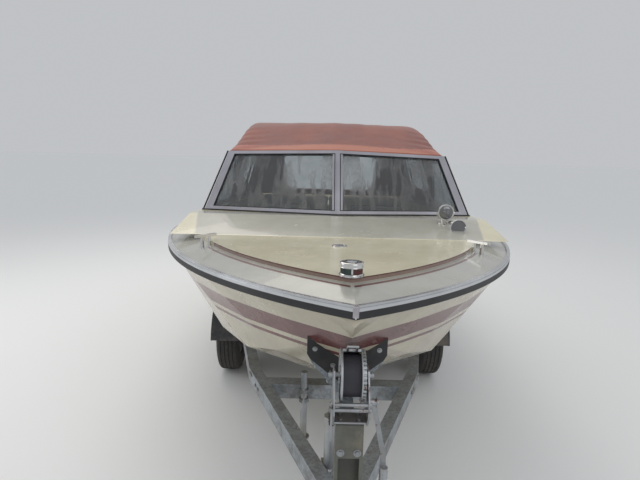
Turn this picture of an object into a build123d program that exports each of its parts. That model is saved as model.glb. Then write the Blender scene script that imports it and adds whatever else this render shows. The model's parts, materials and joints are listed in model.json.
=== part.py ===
from build123d import *
import math
import os

# Family speedboat on its two-axle road trailer, in millimetres.
# Bow towards -Y, +X to the right of someone who looks at the bow from ahead, +Z up.
# The origin is on the ground under the middle of the whole length.
# Distances called "aft" are measured from the tip of the rub rail towards the stern.

# Overall sizes
HULL_LENGTH = 4750
BEAM = 2040
NOSE_AHEAD = 620
DRIVE_REACH = 600
SHEER_BOW_Z = 1220
SHEER_STERN_Z = 1125

# Plan of the hull: two arcs from the tip to the full beam, then one long arc to the transom
BOW_ANGLE = math.radians(60)
SHOULDER_ANGLE = math.radians(26)
BOW_RADIUS = 1900
STERN_TUCK = 80
STERN_HALF = BEAM / 2 - STERN_TUCK

# Hull sections. Columns: aft, chine inside the full half-beam, height of the chine, height of the keel
CHINE_TUCK = 180
HULL_SECTIONS = (
    (-30, BEAM / 2 - 4, 1202, 1192),
    (100, BEAM / 2 - 34, 1126, 1096),
    (300, 908, 990, 918),
    (550, 748, 858, 752),
    (800, 588, 768, 622),
    (1200, 398, 712, 548),
    (1700, 252, 682, 511),
    (2500, CHINE_TUCK + 2, 662, 500),
    (HULL_LENGTH, CHINE_TUCK, 650, 500),
)
KEEL_Z = HULL_SECTIONS[-1][3]

# Rub rail and deck moulding
RAIL_THICK = 16
RAIL_DEEP = 34
STRIP_HIGH = 8
GUNWALE_WIDE = 150
GUNWALE_RISE = 28
DECK_STEP = 18
DECK_RISE = GUNWALE_RISE + DECK_STEP
RAMP_FOOT = 1080
RAMP_HEAD = 1420
RAMP_RISE = 74
COAMING_HALF = BEAM / 2 - 158
COAMING_STERN_HALF = COAMING_HALF - 12
COAMING_AFT = HULL_LENGTH - 190
COAMING_STERN_RISE = 52
WELL_FRONT = 1800
WELL_BACK = COAMING_AFT - 60
WELL_HALF = COAMING_HALF - 110
WELL_STERN_HALF = WELL_HALF - 40
WELL_CORNER = 90
FLOOR_Z = 690

# Windshield: corners of one front pane, as x, aft, height above the sheer plane's tip
SCREEN_BASE_MID = (0, 1482)
SCREEN_BASE_END = (COAMING_HALF - 47, 1662)
SCREEN_TOP_MID = (0, 1722, 1684)
SCREEN_TOP_HALF = SCREEN_BASE_END[0] - 115
SCREEN_TALL = 424
FRAME_DEEP = 22
POST_WIDE = 29
PILLAR_WIDE = 46
BAR_WIDE = 24
GLASS_THICK = 5
WING_LONG = 900
WING_TOP = 560

# Canopy, in the side view: aft and height of its corners
CANOPY_SKIN = 8
CANOPY_FRONT = (1732, 1690)
CANOPY_CREST = (2290, 1908)
CANOPY_REAR_CREST = (3300, 1896)
CANOPY_HEM = (3905, 1240)
CANOPY_TOP_HALF = SCREEN_TOP_HALF - 60
CANOPY_SHOULDER_Z = 1668
CANOPY_SHOULDER_HALF = SCREEN_TOP_HALF + 16
CANOPY_CORNER = 110
HOOP_RADIUS = 11
HOOP_AFTS = (2650, 3250)
SIDE_WINDOW = (2950, 1530)
SIDE_WINDOW_LONG = 620
SIDE_WINDOW_TALL = 300
BACK_WINDOW = (930, 1480)
BACK_WINDOW_TALL = 360
WINDOW_CORNER = 60

# Seats, engine and steering
SEAT_WIDE = 460
SEAT_LONG = 480
SEAT_TOP = 985
BACK_TOP = 1235
ENGINE_BACK = HULL_LENGTH - 280
ENGINE_FRONT = ENGINE_BACK - 545
BENCH_BACK = ENGINE_FRONT - 45
BENCH_FRONT = BENCH_BACK - 540
ENGINE_BOX_HALF = 360
ENGINE_BOX_TOP = 1085
ENGINE_WALL = 15
LID_THICK = 40
ENGINE_HALF = 210
ENGINE_TALL = 330
HELM_RADIUS = 175
HELM_TILT = 28
RIM_RADIUS = 12

# Stern drive
SHIELD_HALF = 190
SHIELD_THICK = 45
STEER_AFT = HULL_LENGTH + 110
TILT_AFT = STEER_AFT + 75
TILT_Z = 850
TILT_PIN = 12
LEG_HALF = 62
PROP_Z = 275
PROP_RADIUS = 178
PROP_LONG = 150
PROP_BLADES = 3
BLADE_PITCH = math.radians(34)
SHAFT_RADIUS = 14

# Trailer
RAIL_HIGH = 80
RAIL_WIDE = 60
FRAME_TOP = 450
ARM_MEET = 60
WHEEL_RADIUS = 290
TYRE_WIDE = 165
WHEEL_TRACK = 1505
RAIL_GAP = 25
RAIL_BEND = (1985, WHEEL_TRACK / 2 - TYRE_WIDE / 2 - RAIL_GAP)
ARM_END = (1250, RAIL_BEND[1] - 162)
STERN_OVERHANG = 420
RAIL_STERN = HULL_LENGTH - STERN_OVERHANG
AXLE_AFTS = (2260, 2990)
AXLE_SQUARE = 60
ARM_TRAIL = 130
HUB_RADIUS = 38
STUB_RADIUS = 15
RIM_INNER = 165
GUARD_GAP = 26
GUARD_THICK = 4
GUARD_WIDE = 208
CROSS_AFTS = (1100, 1900, 2700, 3500, RAIL_STERN - 130)
CROSS_HIGH = 45
ROLLER_RADIUS = 38
ROLLER_WAIST = 27
ROLLER_LONG = 130
ROLLER_PIN = 8
BUNK_X = RAIL_BEND[1] - 85
BUNK_FRONT = 2050
BUNK_BACK = RAIL_STERN - 80
BUNK_WIDE = 90
WINCH_AFT = 90
WINCH_Z = 975
DRUM_RADIUS = 45
STRAP_RADIUS = 66
STRAP_WIDE = 58
FLANGE_RADIUS = 82
CHEEK_GAP = 102
CHEEK_THICK = 5
POST_X = 90
POST_Y = 60
POST_TOP = 826
POST_WALL = 5
CHOCK_AFT = 335
CHOCK_HALF = 131
CHOCK_LOW = 832
CHOCK_RISE = 104
PAD_LONG = 90
PAD_THICK = 60
JOCKEY_X = -46
JOCKEY_AFT = 405
JOCKEY_RADIUS = 105
JOCKEY_WHEEL_WIDE = 50
JOCKEY_TUBE = 24
JOCKEY_WALL = 3
JOCKEY_TOP = 640
JOCKEY_TUBE_LOW = 368
JOCKEY_TRAIL = 55
LEG_X = -165
LEG_RADIUS = 17
LEG_BOTTOM = 170
LEG_TOP = 540
CLEAR = 0.3

BOW_Y = NOSE_AHEAD - (NOSE_AHEAD + HULL_LENGTH + DRIVE_REACH) / 2
SHEER_TILT = math.atan((SHEER_BOW_Z - SHEER_STERN_Z) / HULL_LENGTH)
SHEER = Plane(
    origin=(0, BOW_Y, SHEER_BOW_Z),
    x_dir=(1, 0, 0),
    z_dir=(0, math.sin(SHEER_TILT), math.cos(SHEER_TILT)),
)


def keep(builder, label):
    """Name a finished piece and write it to its own file."""
    builder.part.label = label
    export_step(builder.part, f"parts/{label}.step")


def station(aft):
    """Upright plane across the boat: local x is X, local y is Z."""
    return Plane.XZ.offset(-(BOW_Y + aft))


def sheer_z(aft):
    """Height of the joint between hull and deck."""
    return SHEER_BOW_Z - aft * math.tan(SHEER_TILT)


def plan_points(inset):
    """Corners and arc middles of the right half of the plan, sides moved in by the inset: x, aft."""
    cos_b, sin_b = math.cos(BOW_ANGLE), math.sin(BOW_ANGLE)
    cos_s, sin_s = math.cos(SHOULDER_ANGLE), math.sin(SHOULDER_ANGLE)
    bow_centre = (-BOW_RADIUS * cos_b, BOW_RADIUS * sin_b)
    shoulder_x = bow_centre[0] + BOW_RADIUS * cos_s
    shoulder_radius = (BEAM / 2 - shoulder_x) / (1 - cos_s)
    side_centre = (BEAM / 2 - shoulder_radius, bow_centre[1] + (shoulder_radius - BOW_RADIUS) * sin_s)
    long_run = HULL_LENGTH - side_centre[1]
    long_drop = BEAM / 2 - STERN_HALF
    long_radius = (long_run**2 + long_drop**2) / (2 * long_drop)
    long_x = BEAM / 2 - long_radius

    def on_arc(centre, radius, angle):
        return (centre[0] + radius * math.cos(angle), centre[1] - radius * math.sin(angle))

    bow_r = BOW_RADIUS - inset
    tip_angle = math.acos(-bow_centre[0] / bow_r)
    long_r = long_radius - inset

    def on_long(aft):
        return (long_x + math.sqrt(long_r**2 - (aft - side_centre[1]) ** 2), aft)

    stern = HULL_LENGTH
    return (
        (0, bow_centre[1] - bow_r * math.sin(tip_angle)),
        on_arc(bow_centre, bow_r, (tip_angle + SHOULDER_ANGLE) / 2),
        on_arc(bow_centre, bow_r, SHOULDER_ANGLE),
        on_arc(side_centre, shoulder_radius - inset, SHOULDER_ANGLE / 2),
        (BEAM / 2 - inset, side_centre[1]),
        on_long((side_centre[1] + stern) / 2),
        on_long(stern),
        (0, stern),
    )


def half_breadth(aft, inset=0):
    """Half-breadth of the plan at a distance aft of the tip."""
    points = plan_points(inset)
    if aft <= points[0][1]:
        return 0
    for first, mid, last in (points[0:3], points[2:5], points[4:7]):
        if aft <= last[1]:
            arc = ThreePointArc(first, mid, last)
            cut = arc.find_intersection_points(Axis((0, aft, 0), (1, 0, 0)))
            return max(point.X for point in cut)
    return points[6][0]


def plan_face(inset, overrun=0):
    """Closed plan sketch in the sheer plane's own x and aft, its stern moved aft by the overrun."""
    points = plan_points(inset)
    with BuildSketch() as plan:
        with BuildLine():
            for side in (1, -1):
                turned = [(side * x, y) for x, y in points]
                ThreePointArc(*turned[0:3])
                ThreePointArc(*turned[2:5])
                ThreePointArc(*turned[4:7])
                corner = turned[6]
                if overrun:
                    corner = (turned[6][0], HULL_LENGTH + overrun)
                    Line(turned[6], corner)
                Line(corner, (0, HULL_LENGTH + overrun))
        make_face()
    return plan.sketch


def sheer_slab(inset, low, high, overrun=0):
    """The plan extruded between two heights over the sheer plane."""
    with BuildPart() as slab:
        with BuildSketch(SHEER.offset(low)):
            add(plan_face(inset, overrun))
        extrude(amount=high - low)
    return slab.part


def keel_z(aft):
    """Height of the keel at a distance aft of the tip."""
    for ahead, behind in zip(HULL_SECTIONS, HULL_SECTIONS[1:]):
        if aft <= behind[0]:
            share = (aft - ahead[0]) / (behind[0] - ahead[0])
            return ahead[3] + share * (behind[3] - ahead[3])
    return KEEL_Z


def at_sheer(x, aft, rise):
    """Point over the sheer plane."""
    return SHEER.from_local_coords(Vector(x, aft, rise))


os.makedirs("parts", exist_ok=True)

# Hull: one lofted shell with a cockpit well, trimmed to the plan under the rail
with BuildPart() as hull:
    for aft, chine_in, chine_z, stem_z in HULL_SECTIONS:
        chine_half = BEAM / 2 - chine_in
        top_half = half_breadth(aft) + 12
        top_z = sheer_z(aft) + 6
        with BuildSketch(station(aft)):
            with BuildLine():
                Polyline(
                    (0, stem_z),
                    (chine_half, chine_z),
                    (top_half, top_z),
                    (-top_half, top_z),
                    (-chine_half, chine_z),
                    close=True,
                )
            make_face()
    loft(ruled=True)
    add(sheer_slab(RAIL_THICK, KEEL_Z - SHEER_BOW_Z, 0, overrun=50), mode=Mode.INTERSECT)
    with BuildSketch(Plane.XY.offset(FLOOR_Z)) as well_plan:
        with BuildLine():
            FilletPolyline(
                (WELL_HALF, BOW_Y + WELL_FRONT),
                (WELL_STERN_HALF, BOW_Y + WELL_BACK),
                (-WELL_STERN_HALF, BOW_Y + WELL_BACK),
                (-WELL_HALF, BOW_Y + WELL_FRONT),
                radius=WELL_CORNER,
                close=True,
            )
        make_face()
    extrude(amount=SHEER_BOW_Z, mode=Mode.SUBTRACT)
keep(hull, "hull")


def coaming_profile():
    """Side view of the ramp and coaming in the sheer plane: aft and rise."""
    return (
        (RAMP_FOOT, DECK_RISE),
        (RAMP_HEAD, DECK_RISE + RAMP_RISE),
        (COAMING_AFT, DECK_RISE + COAMING_STERN_RISE),
        (COAMING_AFT + 40, DECK_RISE),
    )


def coaming_rise(aft):
    """Height of the coaming's top over the sheer plane."""
    (_, _), (aft_0, rise_0), (aft_1, rise_1), _ = coaming_profile()
    return rise_0 + (aft - aft_0) * (rise_1 - rise_0) / (aft_1 - aft_0)


def coaming_z(aft):
    """Height of the coaming's top over the ground."""
    return sheer_z(aft) + coaming_rise(aft)


# Ramp and coaming: the side view run across the boat, narrowed to the coaming's plan
with BuildPart() as coaming:
    with BuildSketch(Plane(origin=SHEER.origin, x_dir=SHEER.y_dir, z_dir=(1, 0, 0))):
        with BuildLine():
            Polyline(*coaming_profile(), close=True)
        make_face()
    extrude(amount=COAMING_HALF, both=True)
    with BuildSketch(SHEER.offset(DECK_RISE)):
        with BuildLine():
            Polyline(
                (COAMING_HALF, RAMP_FOOT - 50),
                (COAMING_STERN_HALF, COAMING_AFT + 40),
                (-COAMING_STERN_HALF, COAMING_AFT + 40),
                (-COAMING_HALF, RAMP_FOOT - 50),
                close=True,
            )
        make_face()
    extrude(amount=200, taper=9, mode=Mode.INTERSECT)

# Deck moulding: sloping gunwale, small step, flat deck, ramp and coaming, with the cockpit cut through
with BuildPart() as deck:
    with BuildSketch(SHEER):
        add(plan_face(RAIL_THICK))
    with BuildSketch(SHEER.offset(GUNWALE_RISE)):
        add(plan_face(RAIL_THICK + GUNWALE_WIDE))
    loft(ruled=True)
    add(sheer_slab(RAIL_THICK + GUNWALE_WIDE, GUNWALE_RISE, DECK_RISE))
    add(coaming.part)
    with BuildSketch(Plane.XY.offset(FLOOR_Z)):
        add(well_plan.sketch.faces()[0].moved(Location((0, 0, -FLOOR_Z))))
    extrude(amount=SHEER_BOW_Z, mode=Mode.SUBTRACT)
keep(deck, "deck")

# Rub rail: black rubber round the sheer with a bright strip on its upper edge, open at the transom
with BuildPart() as rub_rail:
    add(sheer_slab(0, -RAIL_DEEP, 0))
    add(sheer_slab(RAIL_THICK, -RAIL_DEEP, 0), mode=Mode.SUBTRACT)
keep(rub_rail, "rub_rail")

with BuildPart() as rail_strip:
    add(sheer_slab(2, 0, STRIP_HIGH))
    add(sheer_slab(RAIL_THICK, 0, STRIP_HIGH), mode=Mode.SUBTRACT)
keep(rail_strip, "rail_strip")

# Windshield: one front pane and one side wing on the right, both mirrored
base_mid = Vector(0, BOW_Y + SCREEN_BASE_MID[1], coaming_z(SCREEN_BASE_MID[1]))
base_end = Vector(SCREEN_BASE_END[0], BOW_Y + SCREEN_BASE_END[1], coaming_z(SCREEN_BASE_END[1]))
top_mid = Vector(0, BOW_Y + SCREEN_TOP_MID[1], SCREEN_TOP_MID[2])
pane_normal = (base_end - base_mid).cross(top_mid - base_mid)
PANE = Plane(origin=base_mid, x_dir=base_end - base_mid, z_dir=pane_normal)
PANE_TALL = PANE.to_local_coords(top_mid).Y
pane_base = PANE.to_local_coords(base_end).X


def pane_u(x, v):
    """Local position along the pane whose global X is x, at local height v."""
    return (x - v * PANE.y_dir.X) / PANE.x_dir.X


pane_top = pane_u(SCREEN_TOP_HALF, SCREEN_TALL)
top_end = PANE.from_local_coords(Vector(pane_top, SCREEN_TALL, 0))


def pane_outline(mid, pillar, low, high):
    """Corners of the front pane, each side moved in by its own width."""
    lean = (pane_top - pane_base) / SCREEN_TALL
    return (
        (pane_u(mid, low), low),
        (pane_base + lean * low - pillar, low),
        (pane_base + lean * (SCREEN_TALL - high) - pillar, SCREEN_TALL - high),
        (pane_u(mid, PANE_TALL - high), PANE_TALL - high),
    )


wing_foot = Vector(SCREEN_BASE_END[0] + 11, base_end.Y + WING_LONG, coaming_z(SCREEN_BASE_END[1] + WING_LONG))
wing_normal = (wing_foot - base_end).cross(top_end - base_end)
WING = Plane(origin=base_end, x_dir=wing_foot - base_end, z_dir=wing_normal)
wing_front = WING.to_local_coords(top_end)
wing_crest = (WING_TOP, wing_front.Y - 20)


def wing_outline(inset):
    """Corners of the side wing, moved in by the frame's width."""
    lean = wing_front.X / wing_front.Y
    fall = (WING_LONG - wing_crest[0]) / wing_crest[1]
    return (
        (lean * inset + inset * 1.4, inset),
        (WING_LONG - fall * inset - 1.5 * inset, inset),
        (wing_crest[0] - 0.5 * inset, wing_crest[1] - inset),
        (wing_front.X + 0.9 * inset, wing_front.Y - inset),
    )


def flat_panel(plane, corners, thick):
    """Flat panel of the given corners, centred on its plane."""
    with BuildPart() as panel:
        with BuildSketch(plane):
            with BuildLine():
                Polyline(*corners, close=True)
            make_face()
        extrude(amount=thick / 2, both=True)
    return panel.part


with BuildPart() as frame_right:
    add(flat_panel(PANE, pane_outline(-40, 0, -25, 0), FRAME_DEEP))
    opening = pane_outline(POST_WIDE, PILLAR_WIDE, BAR_WIDE, BAR_WIDE)
    add(flat_panel(PANE, opening, FRAME_DEEP), mode=Mode.SUBTRACT)
    split(bisect_by=Plane.YZ, keep=Keep.TOP)
    add(flat_panel(WING, wing_outline(0), FRAME_DEEP / 2))
    add(flat_panel(WING, wing_outline(BAR_WIDE), FRAME_DEEP), mode=Mode.SUBTRACT)
    add(deck.part, mode=Mode.SUBTRACT)

with BuildPart() as windshield_frame:
    add(frame_right.part)
    mirror(about=Plane.YZ)
keep(windshield_frame, "windshield_frame")

with BuildPart() as windshield_glass:
    add(flat_panel(PANE, pane_outline(POST_WIDE, PILLAR_WIDE, BAR_WIDE, BAR_WIDE), GLASS_THICK))
    add(flat_panel(WING, wing_outline(BAR_WIDE), GLASS_THICK))
    mirror(about=Plane.YZ)
keep(windshield_glass, "windshield_glass")


def canopy_solid(inset):
    """Closed shape of the canopy, each face moved in by the inset, open to below."""
    front_rise = (CANOPY_CREST[1] - CANOPY_FRONT[1]) / (CANOPY_CREST[0] - CANOPY_FRONT[0])
    end_aft, end_z = top_end.Y - BOW_Y, top_end.Z
    side_fall = (end_z - SCREEN_TOP_MID[2] - front_rise * (end_aft - SCREEN_TOP_MID[1])) / SCREEN_TOP_HALF
    shoulder = (CANOPY_SHOULDER_HALF - inset, CANOPY_SHOULDER_Z)
    with BuildPart() as body:
        with BuildSketch(Plane.XZ) as front_view:
            with BuildLine():
                Polyline(
                    (wing_foot.X + FRAME_DEEP / 2 - inset, FLOOR_Z + 300),
                    (wing_foot.X + FRAME_DEEP / 2 - inset, wing_foot.Z),
                    shoulder,
                    (CANOPY_TOP_HALF - inset, CANOPY_CREST[1] - inset),
                    (inset - CANOPY_TOP_HALF, CANOPY_CREST[1] - inset),
                    (-shoulder[0], shoulder[1]),
                    (inset - wing_foot.X - FRAME_DEEP / 2, wing_foot.Z),
                    (inset - wing_foot.X - FRAME_DEEP / 2, FLOOR_Z + 300),
                    close=True,
                )
            make_face()
            fillet(front_view.vertices().group_by(Axis.Y)[-1], CANOPY_CORNER - inset)
        extrude(amount=HULL_LENGTH, both=True)
        with BuildSketch(Plane.YZ) as side_view:
            with BuildLine():
                Polyline(
                    (BOW_Y + CANOPY_FRONT[0] - 100, FLOOR_Z + 300),
                    (BOW_Y + CANOPY_FRONT[0] - 100, CANOPY_CREST[1] - inset),
                    (BOW_Y + CANOPY_CREST[0], CANOPY_CREST[1] - inset),
                    (BOW_Y + CANOPY_REAR_CREST[0] - inset / 2, CANOPY_REAR_CREST[1] - inset),
                    (BOW_Y + CANOPY_HEM[0] - inset, CANOPY_HEM[1]),
                    (BOW_Y + CANOPY_HEM[0] - inset, FLOOR_Z + 300),
                    close=True,
                )
            make_face()
        extrude(amount=BEAM, both=True, mode=Mode.INTERSECT)
        for side in (1, -1):
            normal = Vector(-side * side_fall, -front_rise, 1).normalized()
            origin = Vector(0, BOW_Y + CANOPY_FRONT[0], CANOPY_FRONT[1]) - normal * inset
            split(bisect_by=Plane(origin=origin, z_dir=normal), keep=Keep.BOTTOM)
    return body.part


def canopy_hem_cut():
    """What lies under the canopy's hem: over the windshield, the wings, the coaming and behind the bench."""
    wing_top = WING.from_local_coords(Vector(*wing_crest, 0))
    hem_gap = 14
    with BuildPart() as below:
        with BuildSketch(Plane.YZ):
            with BuildLine():
                Polyline(
                    (BOW_Y + CANOPY_FRONT[0] - 300, CANOPY_FRONT[1] + 60),
                    (BOW_Y + CANOPY_FRONT[0], CANOPY_FRONT[1]),
                    (top_end.Y, top_end.Z + hem_gap - 3),
                    (wing_top.Y + 4, wing_top.Z + hem_gap),
                    (wing_foot.Y + hem_gap, wing_foot.Z + CLEAR + 3),
                    (BOW_Y + CANOPY_HEM[0] + 100, coaming_z(CANOPY_HEM[0] + 100) + CLEAR),
                    (BOW_Y + CANOPY_HEM[0] + 100, FLOOR_Z),
                    (BOW_Y + CANOPY_FRONT[0] - 300, FLOOR_Z),
                    close=True,
                )
            make_face()
        extrude(amount=BEAM, both=True)
    return below.part


def canopy_window_cut():
    """Boxes through the rear panel and both side panels where the clear windows are."""
    with BuildPart() as panes:
        with BuildSketch(station(CANOPY_HEM[0])):
            with Locations((0, BACK_WINDOW[1])):
                RectangleRounded(BACK_WINDOW[0], BACK_WINDOW_TALL, WINDOW_CORNER)
        extrude(amount=750)
        with BuildSketch(Plane.YZ):
            with Locations((BOW_Y + SIDE_WINDOW[0], SIDE_WINDOW[1])):
                RectangleRounded(SIDE_WINDOW_LONG, SIDE_WINDOW_TALL, WINDOW_CORNER)
        extrude(amount=BEAM, both=True)
    return panes.part


hem_cut = canopy_hem_cut()
window_cut = canopy_window_cut()

with BuildPart() as canopy:
    add(canopy_solid(0))
    add(canopy_solid(CANOPY_SKIN), mode=Mode.SUBTRACT)
    add(hem_cut, mode=Mode.SUBTRACT)
    add(window_cut, mode=Mode.SUBTRACT)
keep(canopy, "canopy")

with BuildPart() as canopy_windows:
    add(canopy_solid(CANOPY_SKIN / 4))
    add(canopy_solid(CANOPY_SKIN * 3 / 4), mode=Mode.SUBTRACT)
    add(hem_cut, mode=Mode.SUBTRACT)
    add(window_cut, mode=Mode.INTERSECT)
keep(canopy_windows, "canopy_windows")

# Canopy hoops: two tubes that follow the canopy's inside and stand on the coaming
with BuildPart() as canopy_hoops:
    for hoop_aft in HOOP_AFTS:
        drop = CANOPY_SKIN + HOOP_RADIUS + 4
        foot = (wing_foot.X - drop, coaming_z(hoop_aft) + CLEAR)
        bend = (CANOPY_SHOULDER_HALF - drop, CANOPY_SHOULDER_Z)
        top = (CANOPY_TOP_HALF - drop - 8, CANOPY_REAR_CREST[1] - drop)
        with BuildLine(station(hoop_aft)):
            hoop_path = FilletPolyline(
                foot, bend, top, (-top[0], top[1]), (-bend[0], bend[1]), (-foot[0], foot[1]), radius=CANOPY_CORNER
            )
        with BuildSketch(Plane(origin=hoop_path @ 0, z_dir=hoop_path % 0)):
            Circle(HOOP_RADIUS)
        sweep(path=hoop_path)
    add(deck.part, mode=Mode.SUBTRACT)
keep(canopy_hoops, "canopy_hoops")

# Bow light: round base, body and cap on the tip of the flat deck
LIGHT_AFT = 232
LIGHT_SEAT = Plane(origin=at_sheer(0, LIGHT_AFT, DECK_RISE), x_dir=(1, 0, 0), z_dir=SHEER.z_dir)
with BuildPart() as bow_light:
    with BuildSketch(LIGHT_SEAT):
        Circle(43)
    extrude(amount=5)
    with BuildSketch(LIGHT_SEAT.offset(5)):
        Circle(34)
    extrude(amount=26)
    with BuildSketch(LIGHT_SEAT.offset(31)):
        Circle(41)
    extrude(amount=16)
    fillet(bow_light.edges().group_by(Axis.Z)[-1], 6)
keep(bow_light, "bow_light")

# Round deck plate, flush but for its rim
DECK_PLATE = (-14, RAMP_FOOT - 265)
with BuildPart() as deck_plate:
    with BuildSketch(Plane(origin=at_sheer(*DECK_PLATE, DECK_RISE), x_dir=(1, 0, 0), z_dir=SHEER.z_dir)):
        Circle(34)
    extrude(amount=4)
    chamfer(deck_plate.edges().group_by(Axis.Z)[-1], 1.5)
keep(deck_plate, "deck_plate")

# Cleats: two legs and a rounded bar, seated on the gunwale or the side deck
# Columns: inside the rail, aft, turn
CLEATS = ((150, 862, 34), (90, HULL_LENGTH - 270, 2))
CLEAT_LONG = 130
CLEAT_HIGH = 34
with BuildPart() as cleats:
    for cleat_in, cleat_aft, turn in CLEATS:
        cleat_x = half_breadth(cleat_aft) - cleat_in
        seat = Plane(origin=at_sheer(cleat_x, cleat_aft, 0), x_dir=SHEER.y_dir, z_dir=SHEER.z_dir)
        seat = seat.rotated((0, 0, turn))
        for leg in (-22, 22):
            with BuildSketch(seat):
                with Locations((leg, 0)):
                    Circle(11)
            extrude(amount=DECK_RISE + CLEAT_HIGH - 6, taper=3)
        with BuildSketch(seat.offset(DECK_RISE + CLEAT_HIGH - 12)):
            SlotOverall(CLEAT_LONG, 17)
        extrude(amount=11)
    add(deck.part, mode=Mode.SUBTRACT)
    add(sheer_slab(RAIL_THICK, -20, GUNWALE_RISE / 4), mode=Mode.SUBTRACT)
    mirror(about=Plane.YZ)
keep(cleats, "cleats")

# Searchlight: foot, stem, yoke and round housing, facing ahead
LAMP = (COAMING_HALF - 277, RAMP_HEAD - 75)
LAMP_LIFT = 62
lamp_seat = at_sheer(LAMP[0], LAMP[1], DECK_RISE)
lamp_centre = Vector(LAMP[0] + 8, lamp_seat.Y, coaming_z(LAMP[1]) - RAMP_RISE * 0.2 + LAMP_LIFT)
with BuildPart() as searchlight:
    with BuildSketch(Plane(origin=lamp_seat)):
        Circle(27)
    extrude(amount=RAMP_RISE * 0.8 + 4)
    with BuildSketch(Plane(origin=lamp_seat)):
        Circle(10)
    extrude(amount=lamp_centre.Z - lamp_seat.Z)
    with BuildSketch(Plane.YZ.offset(lamp_centre.X)):
        with BuildLine():
            Polyline(
                (lamp_centre.Y - 34, lamp_centre.Z),
                (lamp_centre.Y - 34, lamp_centre.Z + 43),
                (lamp_centre.Y - 26, lamp_centre.Z + 43),
                (lamp_centre.Y - 8, lamp_centre.Z + 38),
                (lamp_centre.Y + 26, lamp_centre.Z + 22),
                (lamp_centre.Y + 36, lamp_centre.Z),
                close=True,
            )
        make_face()
    revolve(axis=Axis((lamp_centre.X, lamp_centre.Y, lamp_centre.Z), (0, 1, 0)))
    add(deck.part, mode=Mode.SUBTRACT)
keep(searchlight, "searchlight")

# Horn: a trumpet on a short foot beside the searchlight, open ahead
HORN = (COAMING_HALF - 222, RAMP_HEAD - 165)
HORN_LIFT = 50
HORN_LONG = 150
horn_seat = at_sheer(HORN[0], HORN[1], DECK_RISE)
horn_axis_z = horn_seat.Z + HORN_LIFT
with BuildPart() as horn:
    with BuildSketch(Plane.YZ.offset(HORN[0])):
        with BuildLine():
            Polyline(
                (horn_seat.Y - 40, horn_axis_z + 40),
                (horn_seat.Y - 40, horn_axis_z + 44),
                (horn_seat.Y - 30, horn_axis_z + 42),
                (horn_seat.Y - 10, horn_axis_z + 28),
                (horn_seat.Y + 20, horn_axis_z + 16),
                (horn_seat.Y + 70, horn_axis_z + 10),
                (horn_seat.Y + 70, horn_axis_z + 20),
                (horn_seat.Y + HORN_LONG - 40, horn_axis_z + 20),
                (horn_seat.Y + HORN_LONG - 40, horn_axis_z),
                (horn_seat.Y + 30, horn_axis_z),
                (horn_seat.Y + 10, horn_axis_z + 10),
                (horn_seat.Y - 20, horn_axis_z + 26),
                close=True,
            )
        make_face()
    revolve(axis=Axis((HORN[0], horn_seat.Y, horn_axis_z), (0, 1, 0)))
    with BuildSketch(Plane(origin=horn_seat + Vector(0, 40, 0))):
        Rectangle(22, 40)
    extrude(amount=HORN_LIFT - 8)
    add(deck.part, mode=Mode.SUBTRACT)
keep(horn, "horn")

# Bow eye: a plate and a ring under the tip; stern eyes: the same pair on the transom
EYE_RING = 17
EYE_BAR = 6


def eye_ring(centre, side_way):
    """Ring of round bar that stands in the plane across its side way."""
    return Plane(origin=centre, z_dir=side_way) * Torus(EYE_RING, EYE_BAR, mode=Mode.PRIVATE)


BOW_EYE = (232, 975)
STERN_EYE = (STERN_HALF - 320, 800)
EYE_HOLE = EYE_RING - EYE_BAR + 1.5
bow_eye_centre = Vector(0, BOW_Y + BOW_EYE[0] - 22, BOW_EYE[1] - 12)
stern_eye_y = BOW_Y + HULL_LENGTH + EYE_RING + 4
with BuildPart() as hull_eyes:
    add(eye_ring(bow_eye_centre, (1, 0, 0)))
    with BuildSketch(Plane.YZ):
        with Locations((BOW_Y + BOW_EYE[0] + 6, BOW_EYE[1] + 2)):
            Rectangle(60, 26, rotation=-48)
    extrude(amount=9, both=True)
    add(hull.part, mode=Mode.SUBTRACT)
    for side in (1, -1):
        with BuildSketch(station(HULL_LENGTH)):
            with Locations((side * STERN_EYE[0], STERN_EYE[1])):
                RectangleRounded(34, 74, 15)
        extrude(amount=-6)
        add(eye_ring((side * STERN_EYE[0], stern_eye_y, STERN_EYE[1]), (1, 0, 0)))
    with BuildSketch(Plane.YZ):
        with Locations((bow_eye_centre.Y, bow_eye_centre.Z), (stern_eye_y, STERN_EYE[1])):
            Circle(EYE_HOLE)
    extrude(amount=BEAM, both=True, mode=Mode.SUBTRACT)
    with BuildSketch(station(HULL_LENGTH)):
        with Locations((0, STERN_EYE[1])):
            Rectangle(2 * BEAM, 2 * EYE_RING + 80)
    extrude(amount=60, mode=Mode.SUBTRACT)
keep(hull_eyes, "hull_eyes")

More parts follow.
